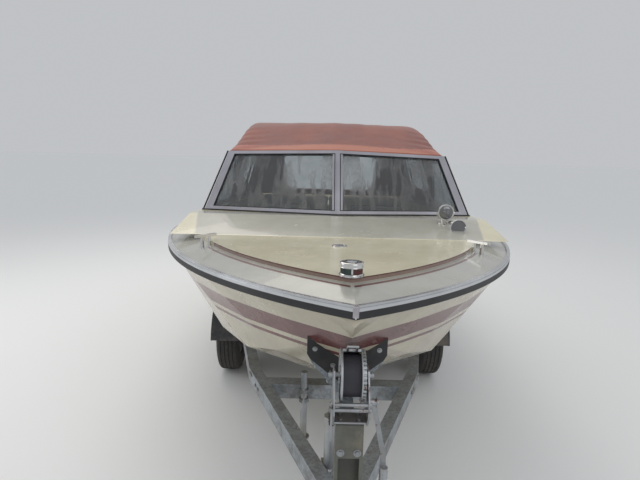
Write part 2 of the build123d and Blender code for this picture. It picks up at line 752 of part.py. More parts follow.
# Dash: console under the windshield with the steering column and its shaft
DASH_HALF = WELL_HALF - 112
HELM_X = 240 - DASH_HALF
DASH_LOW = 960
HELM_AFT = 1995
HELM_Z = 1140
helm_tilt = math.radians(HELM_TILT)
helm_way = Vector(0, math.cos(helm_tilt), math.sin(helm_tilt))
helm_centre = Vector(HELM_X, BOW_Y + HELM_AFT, HELM_Z)
with BuildPart() as dash:
    with BuildSketch(Plane.YZ):
        with BuildLine():
            Polyline(
                (BOW_Y + WELL_FRONT, DASH_LOW),
                (BOW_Y + WELL_FRONT, coaming_z(WELL_FRONT) - 20),
                (BOW_Y + WELL_FRONT + 45, coaming_z(WELL_FRONT) - 24),
                (BOW_Y + WELL_FRONT + 90, sheer_z(WELL_FRONT) - 10),
                (BOW_Y + WELL_FRONT + 90, sheer_z(WELL_FRONT) - 40),
                (BOW_Y + WELL_FRONT + 35, DASH_LOW),
                close=True,
            )
        make_face()
    extrude(amount=DASH_HALF, both=True)
    fillet(dash.edges().filter_by(Axis.X).group_by(Axis.Y)[-1], 12)
    with BuildSketch(Plane(origin=helm_centre - helm_way * 190, z_dir=helm_way)):
        Circle(24)
    extrude(amount=165)
    with BuildSketch(Plane(origin=helm_centre - helm_way * 60, z_dir=helm_way)):
        Circle(8)
    extrude(amount=60)
    with BuildSketch(station(WELL_FRONT)):
        Rectangle(BEAM, 3 * SHEER_BOW_Z)
    extrude(amount=120, mode=Mode.SUBTRACT)
keep(dash, "dash")

# Steering wheel: rim, hub and three spokes
HELM = Plane(origin=helm_centre, x_dir=(1, 0, 0), z_dir=helm_way)
with BuildPart() as steering_wheel:
    add(HELM * Torus(HELM_RADIUS - RIM_RADIUS, RIM_RADIUS, mode=Mode.PRIVATE))
    with BuildSketch(HELM.offset(-14)):
        Circle(30)
    extrude(amount=22)
    with BuildSketch(HELM.offset(-4)):
        with PolarLocations(HELM_RADIUS / 2, 3, start_angle=90):
            Rectangle(HELM_RADIUS - RIM_RADIUS, 26)
    extrude(amount=7)
    with BuildSketch(HELM.offset(-14)):
        Circle(8.05)
    extrude(amount=14.5, mode=Mode.SUBTRACT)
keep(steering_wheel, "steering_wheel")

# Throttle: side box on the starboard lining with its lever
THROTTLE_AFT = 2250
THROTTLE_Z = 1060
with BuildPart() as throttle:
    with BuildSketch(Plane.YZ.offset(-WELL_HALF - 6)):
        with Locations((BOW_Y + THROTTLE_AFT, THROTTLE_Z)):
            RectangleRounded(130, 90, 15)
    extrude(amount=60)
    with BuildSketch(Plane.YZ.offset(-WELL_HALF + 50)):
        with Locations((BOW_Y + THROTTLE_AFT, THROTTLE_Z)):
            SlotCenterToCenter(120, 22, rotation=70)
    extrude(amount=16)
    add(hull.part, mode=Mode.SUBTRACT)
keep(throttle, "throttle")

# Front seats: padded seat and back on a pedestal each
SEAT_FRONT = (WELL_FRONT + BENCH_FRONT) / 2 - 130
PAD_TALL = 110
BACK_THICK = 95
with BuildPart() as front_seats:
    for side in (1, -1):
        with BuildSketch(Plane.YZ.offset(side * abs(HELM_X))):
            with BuildLine():
                Polyline(
                    (BOW_Y + SEAT_FRONT, SEAT_TOP - PAD_TALL),
                    (BOW_Y + SEAT_FRONT, SEAT_TOP),
                    (BOW_Y + SEAT_FRONT + SEAT_LONG - BACK_THICK, SEAT_TOP - 15),
                    (BOW_Y + SEAT_FRONT + SEAT_LONG - BACK_THICK + 50, BACK_TOP),
                    (BOW_Y + SEAT_FRONT + SEAT_LONG + 40, BACK_TOP),
                    (BOW_Y + SEAT_FRONT + SEAT_LONG, SEAT_TOP - PAD_TALL),
                    close=True,
                )
            make_face()
        extrude(amount=SEAT_WIDE / 2, both=True)
    fillet(front_seats.edges().filter_by(Axis.X), 24)
keep(front_seats, "front_seats")

# Seat bases: a pedestal under each front seat and a box across the cockpit under the rear bench
BENCH_HALF = WELL_HALF - 52
with BuildPart() as seat_bases:
    for side in (1, -1):
        with BuildSketch(Plane.XY.offset(FLOOR_Z)):
            with Locations((side * abs(HELM_X), BOW_Y + SEAT_FRONT + SEAT_LONG / 2)):
                RectangleRounded(SEAT_WIDE * 0.7, SEAT_LONG * 0.75, 30)
        extrude(amount=SEAT_TOP - PAD_TALL - FLOOR_Z)
    with BuildSketch(Plane.YZ):
        with BuildLine():
            Polyline(
                (BOW_Y + BENCH_FRONT + 40, FLOOR_Z),
                (BOW_Y + BENCH_FRONT + 40, SEAT_TOP - PAD_TALL),
                (BOW_Y + BENCH_BACK, SEAT_TOP - PAD_TALL),
                (BOW_Y + BENCH_BACK, FLOOR_Z),
                close=True,
            )
        make_face()
    extrude(amount=BENCH_HALF, both=True)
keep(seat_bases, "seat_bases")

with BuildPart() as rear_bench:
    with BuildSketch(Plane.YZ):
        with BuildLine():
            Polyline(
                (BOW_Y + BENCH_FRONT, SEAT_TOP - PAD_TALL),
                (BOW_Y + BENCH_FRONT, SEAT_TOP),
                (BOW_Y + BENCH_BACK - BACK_THICK - 40, SEAT_TOP - 15),
                (BOW_Y + BENCH_BACK - BACK_THICK, BACK_TOP),
                (BOW_Y + BENCH_BACK, BACK_TOP),
                (BOW_Y + BENCH_BACK, SEAT_TOP - PAD_TALL),
                close=True,
            )
        make_face()
    extrude(amount=BENCH_HALF, both=True)
    fillet(rear_bench.edges().filter_by(Axis.X), 24)
keep(rear_bench, "rear_bench")

# Engine: a plain block on two bearers, in a box with a hinged padded lid
with BuildPart() as engine:
    with BuildSketch(Plane.XY.offset(FLOOR_Z)):
        with Locations((0, BOW_Y + (ENGINE_FRONT + ENGINE_BACK) / 2)):
            Rectangle(2 * ENGINE_HALF, ENGINE_BACK - ENGINE_FRONT - 90)
    extrude(amount=ENGINE_TALL)
keep(engine, "engine")

with BuildPart() as engine_box:
    with BuildSketch(Plane.XY.offset(FLOOR_Z)):
        with Locations((0, BOW_Y + (ENGINE_FRONT + ENGINE_BACK) / 2)):
            Rectangle(2 * ENGINE_BOX_HALF, ENGINE_BACK - ENGINE_FRONT)
            Rectangle(
                2 * (ENGINE_BOX_HALF - ENGINE_WALL), ENGINE_BACK - ENGINE_FRONT - 2 * ENGINE_WALL, mode=Mode.SUBTRACT
            )
    extrude(amount=ENGINE_BOX_TOP - FLOOR_Z)
    for side in (1, -1):
        with BuildSketch(Plane.YZ.offset(side * 240)):
            with Locations((BOW_Y + ENGINE_BACK + 8, ENGINE_BOX_TOP + LID_THICK - 30)):
                Rectangle(12, 80)
            with Locations((BOW_Y + ENGINE_BACK + 8, ENGINE_BOX_TOP + LID_THICK)):
                Circle(9)
                Circle(4.05, mode=Mode.SUBTRACT)
            with Locations((BOW_Y + ENGINE_BACK + 4, ENGINE_BOX_TOP - 20)):
                Rectangle(8, 60)
        extrude(amount=20, both=True)
        with BuildSketch(Plane.YZ.offset(side * 240)):
            with Locations((BOW_Y + ENGINE_BACK + 8, ENGINE_BOX_TOP + LID_THICK)):
                Circle(4.05)
        extrude(amount=20, both=True, mode=Mode.SUBTRACT)
keep(engine_box, "engine_box")

with BuildPart() as engine_lid:
    with BuildSketch(Plane.XY.offset(ENGINE_BOX_TOP)):
        with Locations((0, BOW_Y + (ENGINE_FRONT + ENGINE_BACK) / 2 - 8)):
            RectangleRounded(2 * ENGINE_BOX_HALF + 20, ENGINE_BACK - ENGINE_FRONT - 2, 12)
    extrude(amount=LID_THICK)
    fillet(engine_lid.edges().group_by(Axis.Z)[-1], 10)
    with BuildSketch(Plane.YZ):
        with Locations((BOW_Y + ENGINE_BACK + 8, ENGINE_BOX_TOP + LID_THICK)):
            Circle(4)
    extrude(amount=300, both=True)
    with BuildSketch(Plane.YZ):
        with BuildLine():
            Polyline(
                (BOW_Y + ENGINE_BACK + 10, ENGINE_BOX_TOP + LID_THICK + 3),
                (BOW_Y + ENGINE_BACK - 40, ENGINE_BOX_TOP + LID_THICK + 3),
                (BOW_Y + ENGINE_BACK - 40, ENGINE_BOX_TOP + LID_THICK - 12),
                (BOW_Y + ENGINE_BACK + 10, ENGINE_BOX_TOP + LID_THICK - 3),
                close=True,
            )
        make_face()
    extrude(amount=200, both=True)
keep(engine_lid, "engine_lid")

# Transom shield with an upper and a lower lug for the steering pins
PLATE_HALF = 95
LUG_TALL = 36
LUG_GAP = 5
PIN_GAP = 0.05
PIVOT_Y = BOW_Y + STEER_AFT
TILT_Y = BOW_Y + TILT_AFT
with BuildPart() as transom_shield:
    with BuildSketch(station(HULL_LENGTH)):
        with Locations((0, TILT_Z)):
            RectangleRounded(2 * SHIELD_HALF, 2.2 * SHIELD_HALF, 70)
    extrude(amount=-SHIELD_THICK, taper=8)
    for way in (1, -1):
        with BuildSketch(Plane.XY.offset(TILT_Z + way * (PLATE_HALF + LUG_GAP))):
            with Locations((0, PIVOT_Y)):
                Circle(28)
            with Locations((0, PIVOT_Y - (STEER_AFT - HULL_LENGTH) / 2)):
                Rectangle(56, STEER_AFT - HULL_LENGTH)
            with Locations((0, PIVOT_Y)):
                Circle(TILT_PIN + PIN_GAP, mode=Mode.SUBTRACT)
        extrude(amount=way * LUG_TALL)
keep(transom_shield, "transom_shield")

# Steering yoke: plate with two upright pins and two ears for the tilt pins
EAR_OUT = 95
EAR_IN = 76
with BuildPart() as drive_yoke:
    with BuildSketch(Plane.XZ.offset(-PIVOT_Y)):
        with Locations((0, TILT_Z)):
            RectangleRounded(2 * EAR_OUT, 2 * PLATE_HALF, 14)
    extrude(amount=10, both=True)
    with BuildSketch(Plane.XY.offset(TILT_Z - PLATE_HALF - LUG_GAP - LUG_TALL)):
        with Locations((0, PIVOT_Y)):
            Circle(TILT_PIN)
    extrude(amount=2 * (PLATE_HALF + LUG_GAP + LUG_TALL))
    for side in (1, -1):
        with BuildSketch(Plane.YZ.offset(side * EAR_IN)):
            with BuildLine():
                Polyline(
                    (PIVOT_Y, TILT_Z - 55),
                    (TILT_Y, TILT_Z - 32),
                    (TILT_Y, TILT_Z + 32),
                    (PIVOT_Y, TILT_Z + 55),
                    close=True,
                )
            make_face()
            with Locations((TILT_Y, TILT_Z)):
                Circle(32)
                Circle(TILT_PIN + PIN_GAP, mode=Mode.SUBTRACT)
        extrude(amount=side * (EAR_OUT - EAR_IN))
keep(drive_yoke, "drive_yoke")

# Drive leg: upper housing on the tilt pins, tapering strut, plate over the propeller, gearcase, skeg and shaft
PROP_Y = BOW_Y + HULL_LENGTH + DRIVE_REACH - 120
VENT_Z = 468
with BuildPart() as drive_leg:
    with BuildSketch(Plane.YZ):
        with BuildLine():
            Polyline(
                (TILT_Y - 20, TILT_Z - 50),
                (TILT_Y - 20, TILT_Z + 40),
                (TILT_Y + 30, TILT_Z + 80),
                (TILT_Y + 165, TILT_Z + 90),
                (TILT_Y + 215, TILT_Z + 50),
                (TILT_Y + 205, TILT_Z - 150),
                (TILT_Y + 45, TILT_Z - 190),
                close=True,
            )
        make_face()
    extrude(amount=LEG_HALF, both=True)
    fillet(drive_leg.edges().filter_by(Axis.X), 14)
    for strut_z, strut_aft, strut_half, strut_long in ((TILT_Z - 120, 125, 50, 85), (PROP_Z, 108, 20, 82)):
        with BuildSketch(Plane.XY.offset(strut_z)):
            with Locations((0, TILT_Y + strut_aft)):
                Ellipse(strut_half, strut_long)
    loft()
    with BuildSketch(Plane.XY.offset(VENT_Z)):
        with BuildLine():
            Polyline(
                (16, TILT_Y + 30),
                (84, TILT_Y + 190),
                (84, PROP_Y + 70),
                (-84, PROP_Y + 70),
                (-84, TILT_Y + 190),
                (-16, TILT_Y + 30),
                close=True,
            )
        make_face()
    extrude(amount=9)
    with BuildSketch(Plane.YZ):
        with BuildLine():
            Polyline(
                (TILT_Y + 20, PROP_Z),
                (TILT_Y + 60, PROP_Z + 40),
                (TILT_Y + 130, PROP_Z + 50),
                (PROP_Y - PROP_LONG / 2 - 6, PROP_Z + 44),
                (PROP_Y - PROP_LONG / 2 - 6, PROP_Z),
                close=True,
            )
        make_face()
    revolve(axis=Axis((0, TILT_Y, PROP_Z), (0, 1, 0)))
    with BuildSketch(Plane.YZ):
        with BuildLine():
            Polyline(
                (TILT_Y + 70, PROP_Z - 30),
                (TILT_Y + 150, PROP_Z - 155),
                (TILT_Y + 225, PROP_Z - 160),
                (TILT_Y + 205, PROP_Z - 30),
                close=True,
            )
        make_face()
    extrude(amount=6, both=True)
    with BuildSketch(Plane.XZ.offset(-(PROP_Y - PROP_LONG / 2 - 10))):
        with Locations((0, PROP_Z)):
            Circle(SHAFT_RADIUS)
    extrude(amount=-PROP_LONG)
    with BuildSketch(Plane.YZ.offset(-EAR_OUT)):
        with Locations((TILT_Y, TILT_Z)):
            Circle(TILT_PIN)
    extrude(amount=2 * EAR_OUT)
keep(drive_leg, "drive_leg")

# Propeller: hub with a cone and three pitched blades
with BuildPart() as propeller:
    with BuildSketch(Plane.YZ):
        with BuildLine():
            Polyline(
                (PROP_Y - PROP_LONG / 2, PROP_Z),
                (PROP_Y - PROP_LONG / 2, PROP_Z + 43),
                (PROP_Y + PROP_LONG / 2, PROP_Z + 37),
                (PROP_Y + PROP_LONG / 2 + 15, PROP_Z + 20),
                (BOW_Y + HULL_LENGTH + DRIVE_REACH, PROP_Z + 8),
                (BOW_Y + HULL_LENGTH + DRIVE_REACH, PROP_Z),
                close=True,
            )
        make_face()
    revolve(axis=Axis((0, PROP_Y, PROP_Z), (0, 1, 0)))
    with BuildSketch(Plane.XZ.offset(-(PROP_Y - PROP_LONG / 2))):
        with Locations((0, PROP_Z)):
            Circle(SHAFT_RADIUS + PIN_GAP)
    extrude(amount=-(PROP_LONG - 8), mode=Mode.SUBTRACT)
    for blade in range(PROP_BLADES):
        turn = math.tau * blade / PROP_BLADES
        radial = Vector(math.sin(turn), 0, math.cos(turn))
        round_way = Vector(math.cos(turn), 0, -math.sin(turn))
        face_way = round_way * math.sin(BLADE_PITCH) + Vector(0, math.cos(BLADE_PITCH), 0)
        with BuildSketch(Plane(origin=(0, PROP_Y, PROP_Z), x_dir=radial, z_dir=face_way)):
            with BuildLine():
                Line((20, -30), (60, -42))
                ThreePointArc((60, -42), (118, -62), (PROP_RADIUS - 14, 0))
                ThreePointArc((PROP_RADIUS - 14, 0), (126, 60), (60, 48))
                Polyline((60, 48), (20, 30), (20, -30))
            make_face()
        extrude(amount=3.5, both=True)
keep(propeller, "propeller")

# Trailer frame: spine, two drawbar arms, two side rails that bend in line with the wheels, cross-members
FRAME_LOW = FRAME_TOP - RAIL_HIGH
SPINE_HALF = 30
SPINE_FRONT = -380
ARM_SLOPE = ARM_END[1] / (ARM_END[0] - ARM_MEET)
ARM_CUT = RAIL_WIDE * math.sqrt(1 + ARM_SLOPE**2)
SPINE_BACK = ARM_MEET + (SPINE_HALF + ARM_CUT) / ARM_SLOPE


def frame_member(corners, low=FRAME_LOW, high=FRAME_TOP):
    """Bar of the given plan, x and aft, between two heights, with its twin on the other side."""
    with BuildPart() as member:
        with BuildSketch(Plane.XY.offset(low)):
            with BuildLine():
                Polyline(*[(x, BOW_Y + aft) for x, aft in corners], close=True)
            make_face()
        extrude(amount=high - low)
        mirror(about=Plane.YZ)
    return member


drawbar_arms = frame_member(
    (
        (SPINE_HALF, ARM_MEET + SPINE_HALF / ARM_SLOPE),
        (ARM_END[1], ARM_END[0]),
        (ARM_END[1] - ARM_CUT, ARM_END[0]),
        (SPINE_HALF, SPINE_BACK),
    )
)
with BuildPart() as drawbar:
    with BuildSketch(Plane.XY.offset(FRAME_LOW)):
        with Locations((0, BOW_Y + (SPINE_FRONT + SPINE_BACK) / 2)):
            Rectangle(2 * SPINE_HALF, SPINE_BACK - SPINE_FRONT)
    extrude(amount=RAIL_HIGH)
    add(drawbar_arms.part)
keep(drawbar, "drawbar")

bend_slope = (RAIL_BEND[1] - ARM_END[1]) / (RAIL_BEND[0] - ARM_END[0])
side_rails = frame_member(
    (
        (ARM_END[1], ARM_END[0]),
        (RAIL_BEND[1], RAIL_BEND[0]),
        (RAIL_BEND[1], RAIL_STERN),
        (RAIL_BEND[1] - RAIL_WIDE, RAIL_STERN),
        (RAIL_BEND[1] - RAIL_WIDE, RAIL_BEND[0] + (ARM_CUT - RAIL_WIDE) / bend_slope),
        (ARM_END[1] - ARM_CUT, ARM_END[0]),
    )
)
keep(side_rails, "side_rails")


def frame_half(aft):
    """Half-width between the frame's inner faces."""
    if aft < ARM_END[0]:
        return (aft - ARM_MEET) * ARM_SLOPE - ARM_CUT
    inner_bend = RAIL_BEND[0] + (ARM_CUT - RAIL_WIDE) / bend_slope
    if aft < inner_bend:
        return ARM_END[1] - ARM_CUT + (aft - ARM_END[0]) * bend_slope
    return RAIL_BEND[1] - RAIL_WIDE


# Cross-members, the first one full height, and the lamp beam on the rails' rear ends
CROSS_LONG = 60
FRONT_CROSS_LONG = 80
LAMP_BEAM_LOW = 385
LAMP_BEAM_HALF = 830
LAMP_BEAM_DEEP = 30
with BuildPart() as cross_members:
    for aft in CROSS_AFTS:
        first = aft == CROSS_AFTS[0]
        deep = FRONT_CROSS_LONG if first else CROSS_LONG
        ends = frame_half(aft - deep / 2), frame_half(aft + deep / 2)
        with BuildSketch(Plane.XY.offset(FRAME_LOW)):
            with BuildLine():
                Polyline(
                    (ends[0], BOW_Y + aft - deep / 2),
                    (ends[1], BOW_Y + aft + deep / 2),
                    (-ends[1], BOW_Y + aft + deep / 2),
                    (-ends[0], BOW_Y + aft - deep / 2),
                    close=True,
                )
            make_face()
        extrude(amount=RAIL_HIGH if first else CROSS_HIGH)
    with BuildSketch(Plane.XY.offset(LAMP_BEAM_LOW)):
        with Locations((0, BOW_Y + RAIL_STERN + LAMP_BEAM_DEEP / 2)):
            Rectangle(2 * LAMP_BEAM_HALF, LAMP_BEAM_DEEP)
    extrude(amount=50)
keep(cross_members, "cross_members")

# Coupling: housing on the spine's nose with a ball socket open to below, and its hand lever
SOCKET_RADIUS = 25.5
SOCKET_HALF = 42
SOCKET_AFT = -NOSE_AHEAD + SOCKET_HALF
SOCKET_Z = FRAME_LOW + 32
with BuildPart() as coupling:
    with BuildSketch(Plane.XY.offset(FRAME_LOW + 10)):
        with Locations((0, BOW_Y + SOCKET_AFT)):
            Circle(SOCKET_HALF)
        with BuildLine():
            Polyline(
                (SOCKET_HALF - 8, BOW_Y + SOCKET_AFT),
                (SPINE_HALF, BOW_Y + SPINE_FRONT),
                (-SPINE_HALF, BOW_Y + SPINE_FRONT),
                (8 - SOCKET_HALF, BOW_Y + SOCKET_AFT),
                close=True,
            )
        make_face()
    extrude(amount=RAIL_HIGH - 20)
    with BuildSketch(Plane.YZ):
        with BuildLine():
            Polyline(
                (BOW_Y + SOCKET_AFT + 30, FRAME_TOP - 10),
                (BOW_Y + SOCKET_AFT + 60, FRAME_TOP + 34),
                (BOW_Y + SPINE_FRONT - 30, FRAME_TOP + 34),
                (BOW_Y + SPINE_FRONT - 30, FRAME_TOP + 22),
                (BOW_Y + SOCKET_AFT + 90, FRAME_TOP + 20),
                (BOW_Y + SOCKET_AFT + 90, FRAME_TOP - 10),
                close=True,
            )
        make_face()
    extrude(amount=11, both=True)
    add(Pos(0, BOW_Y + SOCKET_AFT, SOCKET_Z) * Sphere(SOCKET_RADIUS, mode=Mode.PRIVATE), mode=Mode.SUBTRACT)
    with BuildSketch(Plane.XY.offset(FRAME_LOW)):
        with Locations((0, BOW_Y + SOCKET_AFT)):
            Circle(SOCKET_RADIUS)
    extrude(amount=SOCKET_Z - FRAME_LOW, mode=Mode.SUBTRACT)
keep(coupling, "coupling")

# Winch post: channel with a rolled top and an open front below its plate
WINCH_Y = BOW_Y + WINCH_AFT
PLATE_LOW = POST_TOP - 121
with BuildPart() as winch_post:
    with BuildSketch(Plane.XY.offset(FRAME_TOP)):
        with Locations((0, WINCH_Y)):
            Rectangle(POST_X, POST_Y)
    extrude(amount=POST_TOP - FRAME_TOP)
    fillet(winch_post.edges().filter_by(Axis.X).group_by(Axis.Z)[-1].sort_by(Axis.Y)[0], POST_Y / 2)
    with BuildSketch(Plane.XY.offset(FRAME_TOP)):
        with Locations((0, WINCH_Y)):
            Rectangle(POST_X - 2 * POST_WALL, POST_Y - 2 * POST_WALL)
    extrude(amount=POST_TOP - FRAME_TOP - POST_Y / 2, mode=Mode.SUBTRACT)
    with BuildSketch(Plane.XY.offset(FRAME_TOP + 8)):
        with Locations((0, WINCH_Y - POST_Y / 2)):
            Rectangle(POST_X - 2 * POST_WALL - 12, POST_Y)
    extrude(amount=PLATE_LOW - FRAME_TOP - 8, mode=Mode.SUBTRACT)
keep(winch_post, "winch_post")

# Winch frame: two cheeks on a base with a front lip, joined by cross rods
CHEEK_IN = CHEEK_GAP / 2
CHEEK_OUT = CHEEK_IN + CHEEK_THICK
ROD_RADIUS = 6
DRUM_SHAFT = 9
with BuildPart() as winch_frame:
    with BuildSketch(Plane.YZ.offset(-CHEEK_OUT)) as cheek:
        with BuildLine():
            Polyline(
                (WINCH_Y - 40, POST_TOP),
                (WINCH_Y - 70, POST_TOP + 46),
                (WINCH_Y - 70, WINCH_Z - 58),
                (WINCH_Y - 20, WINCH_Z + 22),
                (WINCH_Y + 20, WINCH_Z + 22),
                (WINCH_Y + 44, WINCH_Z - 30),
                (WINCH_Y + 48, POST_TOP + 30),
                (WINCH_Y + 30, POST_TOP),
                close=True,
            )
        make_face()
    extrude(amount=CHEEK_THICK)
    with BuildSketch(Plane.YZ.offset(CHEEK_IN)):
        add(Plane.YZ.offset(-CHEEK_OUT).to_local_coords(cheek.sketch.faces()[0]))
    extrude(amount=CHEEK_THICK)
    with BuildSketch(Plane.XY.offset(POST_TOP)):
        with Locations((0, WINCH_Y - 2)):
            Rectangle(2 * CHEEK_OUT, 62)
    extrude(amount=6)
    with BuildSketch(Plane.YZ.offset(-CHEEK_OUT)):
        for rod_y, rod_z in ((-60, -69), (-62, -86)):
            with Locations((WINCH_Y + rod_y, WINCH_Z + rod_z)):
                Circle(ROD_RADIUS)
    extrude(amount=2 * CHEEK_OUT)
    with BuildSketch(Plane.YZ.offset(-CHEEK_OUT)):
        with Locations((WINCH_Y, WINCH_Z)):
            Circle(DRUM_SHAFT)
    extrude(amount=2 * CHEEK_OUT, mode=Mode.SUBTRACT)
keep(winch_frame, "winch_frame")

# Winch drum: shaft, plain flange on the left, toothed flange on the right
TEETH = 36
with BuildPart() as winch_drum:
    with BuildSketch(Plane.YZ.offset(-CHEEK_IN - CHEEK_THICK - 12)):
        with Locations((WINCH_Y, WINCH_Z)):
            Circle(DRUM_SHAFT)
    extrude(amount=2 * CHEEK_OUT + 24)
    with BuildSketch(Plane.YZ.offset(-STRAP_WIDE / 2)):
        with Locations((WINCH_Y, WINCH_Z)):
            Circle(DRUM_RADIUS)
    extrude(amount=STRAP_WIDE)
    with BuildSketch(Plane.YZ.offset(-STRAP_WIDE / 2 - 4)):
        with Locations((WINCH_Y, WINCH_Z)):
            Circle(FLANGE_RADIUS)
    extrude(amount=4)
    with BuildSketch(Plane.YZ.offset(STRAP_WIDE / 2)):
        with Locations((WINCH_Y, WINCH_Z)):
            Circle(FLANGE_RADIUS)
    extrude(amount=3)
    with BuildSketch(Plane.YZ.offset(STRAP_WIDE / 2 + 3)):
        with Locations((WINCH_Y, WINCH_Z)):
            Circle(FLANGE_RADIUS - 9)
            with PolarLocations(FLANGE_RADIUS - 5, TEETH):
                Rectangle(9, 7)
    extrude(amount=10)
keep(winch_drum, "winch_drum")

# Winch strap: the wound coil on the drum and the taut run from its top towards the bow eye
STRAP_THICK = 4
STRAP_LONG = 44
eye_ahead = Vector(0, bow_eye_centre.Y - WINCH_Y, bow_eye_centre.Z - WINCH_Z)
touch_angle = math.acos((STRAP_RADIUS - STRAP_THICK / 2) / eye_ahead.length)
leave_angle = math.atan2(eye_ahead.Z, eye_ahead.Y) + touch_angle
leave_way = Vector(0, math.cos(leave_angle), math.sin(leave_angle))
leave_point = Vector(0, WINCH_Y, WINCH_Z) + leave_way * STRAP_RADIUS
eye_reach = bow_eye_centre - leave_point + leave_way * (STRAP_THICK / 2)
STRAP_RUN = Plane(origin=leave_point, x_dir=(-1, 0, 0), z_dir=leave_way)
with BuildPart() as winch_strap:
    with BuildSketch(Plane.YZ.offset(-STRAP_WIDE / 2)):
        with Locations((WINCH_Y, WINCH_Z)):
            Circle(STRAP_RADIUS)
            Circle(DRUM_RADIUS, mode=Mode.SUBTRACT)
    extrude(amount=STRAP_WIDE)
    with BuildSketch(STRAP_RUN.offset(-STRAP_THICK)):
        with Locations((0, STRAP_LONG / 2)):
            Rectangle(STRAP_WIDE - 8, STRAP_LONG)
    extrude(amount=STRAP_THICK)
keep(winch_strap, "winch_strap")

# Strap hook: a link whose far bar is pulled against the inside of the bow eye's ring
LINK_HALF = 4
link_bar = eye_reach.length - EYE_HOLE + CLEAR + LINK_HALF
link_centre = STRAP_RUN.from_local_coords(Vector(0, link_bar, -STRAP_THICK / 2))
with BuildPart() as strap_hook:
    with BuildSketch(STRAP_RUN.offset(-STRAP_THICK / 2 - LINK_HALF)):
        with Locations((0, STRAP_LONG + 5)):
            Rectangle(STRAP_WIDE, 10)
        with Locations((0, (STRAP_LONG + link_bar) / 2)):
            Rectangle(36, link_bar - STRAP_LONG)
        with Locations((0, (STRAP_LONG + 10 + link_bar) / 2)):
            Rectangle(22, link_bar - STRAP_LONG - 10, mode=Mode.SUBTRACT)
    extrude(amount=2 * LINK_HALF)
    with BuildSketch(Plane.YZ.offset(-18)):
        with Locations((link_centre.Y, link_centre.Z)):
            Circle(LINK_HALF)
    extrude(amount=36)
keep(strap_hook, "strap_hook")

# Crank: pinion shaft through the right cheek, flat arm and a turned grip
CRANK_Z = POST_TOP + 74
CRANK_ARM = ((0, 0), (26, -128), (38, -178), (40, -224))
with BuildPart() as winch_crank:
    with BuildSketch(Plane.YZ.offset(CHEEK_OUT)):
        with Locations((WINCH_Y - 30, CRANK_Z)):
            Circle(11)
    extrude(amount=26)
    arm_plane = Plane.XZ.offset(-(WINCH_Y - 30 + 10))
    with BuildSketch(arm_plane):
        with BuildLine():
            crank_path = Polyline(*[(CHEEK_OUT + 16 + x, CRANK_Z + z) for x, z in CRANK_ARM])
            offset(crank_path, amount=8, side=Side.BOTH)
        make_face()
    extrude(amount=8)
    with BuildSketch(Plane.XY.offset(CRANK_Z + CRANK_ARM[-1][1] + 6)):
        with Locations((CHEEK_OUT + 16 + CRANK_ARM[-1][0], WINCH_Y - 30 - 6)):
            Circle(13)
    extrude(amount=-110)
keep(winch_crank, "winch_crank")

# Bow chock: a steel V on an arm from the winch post, with a rubber pad on each side under the stem
CHOCK_Y = BOW_Y + CHOCK_AFT
CHOCK_SLOPE = CHOCK_RISE / CHOCK_HALF
with BuildPart() as bow_chock:
    with BuildSketch(Plane.XZ.offset(-(CHOCK_Y + PAD_LONG / 2 - 15))):
        with BuildLine():
            Polyline(
                (0, CHOCK_LOW),
                (CHOCK_HALF, CHOCK_LOW + CHOCK_RISE),
                (CHOCK_HALF, CHOCK_LOW + CHOCK_RISE - 12),
                (34, CHOCK_LOW - 26),
                (-34, CHOCK_LOW - 26),
                (-CHOCK_HALF, CHOCK_LOW + CHOCK_RISE - 12),
                (-CHOCK_HALF, CHOCK_LOW + CHOCK_RISE),
                close=True,
            )
        make_face()
    extrude(amount=PAD_LONG - 30)
    with BuildSketch(Plane.YZ):
        with BuildLine():
            Polyline(
                (WINCH_Y + POST_Y / 2, POST_TOP - 110),
                (CHOCK_Y + 20, CHOCK_LOW - 66),
                (CHOCK_Y + 20, CHOCK_LOW - 10),
                (CHOCK_Y - 20, CHOCK_LOW - 16),
                (WINCH_Y + POST_Y / 2, POST_TOP - 60),
                close=True,
            )
        make_face()
    extrude(amount=25, both=True)
keep(bow_chock, "bow_chock")

with BuildPart() as chock_pads:
    with BuildSketch(Plane.XZ.offset(-(CHOCK_Y + PAD_LONG / 2))):
        with BuildLine():
            Polyline(
                (6, CHOCK_LOW + 6 * CHOCK_SLOPE),
                (6, CHOCK_LOW + 2.4 * PAD_THICK),
                (CHOCK_HALF + 12, CHOCK_LOW + CHOCK_RISE + 2.4 * PAD_THICK),
                (CHOCK_HALF + 12, CHOCK_LOW + CHOCK_RISE + 20),
                (CHOCK_HALF, CHOCK_LOW + CHOCK_RISE),
                close=True,
            )
        make_face()
    extrude(amount=PAD_LONG)
    add(hull.part, mode=Mode.SUBTRACT)
    mirror(about=Plane.YZ)
keep(chock_pads, "chock_pads")

# Keel rollers on the cross-members behind the first: waisted, the waist under the keel
with BuildPart() as keel_rollers:
    for aft in CROSS_AFTS[1:]:
        roller_z = keel_z(aft) - ROLLER_WAIST - CLEAR
        with BuildSketch(Plane.XY.offset(roller_z)):
            with BuildLine():
                Polyline(
                    (-ROLLER_LONG / 2, BOW_Y + aft + ROLLER_PIN + PIN_GAP),
                    (-ROLLER_LONG / 2, BOW_Y + aft + ROLLER_RADIUS),
                    (-ROLLER_LONG / 7, BOW_Y + aft + ROLLER_WAIST),
                    (ROLLER_LONG / 7, BOW_Y + aft + ROLLER_WAIST),
                    (ROLLER_LONG / 2, BOW_Y + aft + ROLLER_RADIUS),
                    (ROLLER_LONG / 2, BOW_Y + aft + ROLLER_PIN + PIN_GAP),
                    close=True,
                )
            make_face()
        revolve(axis=Axis((0, BOW_Y + aft, roller_z), (1, 0, 0)))
keep(keel_rollers, "keel_rollers")

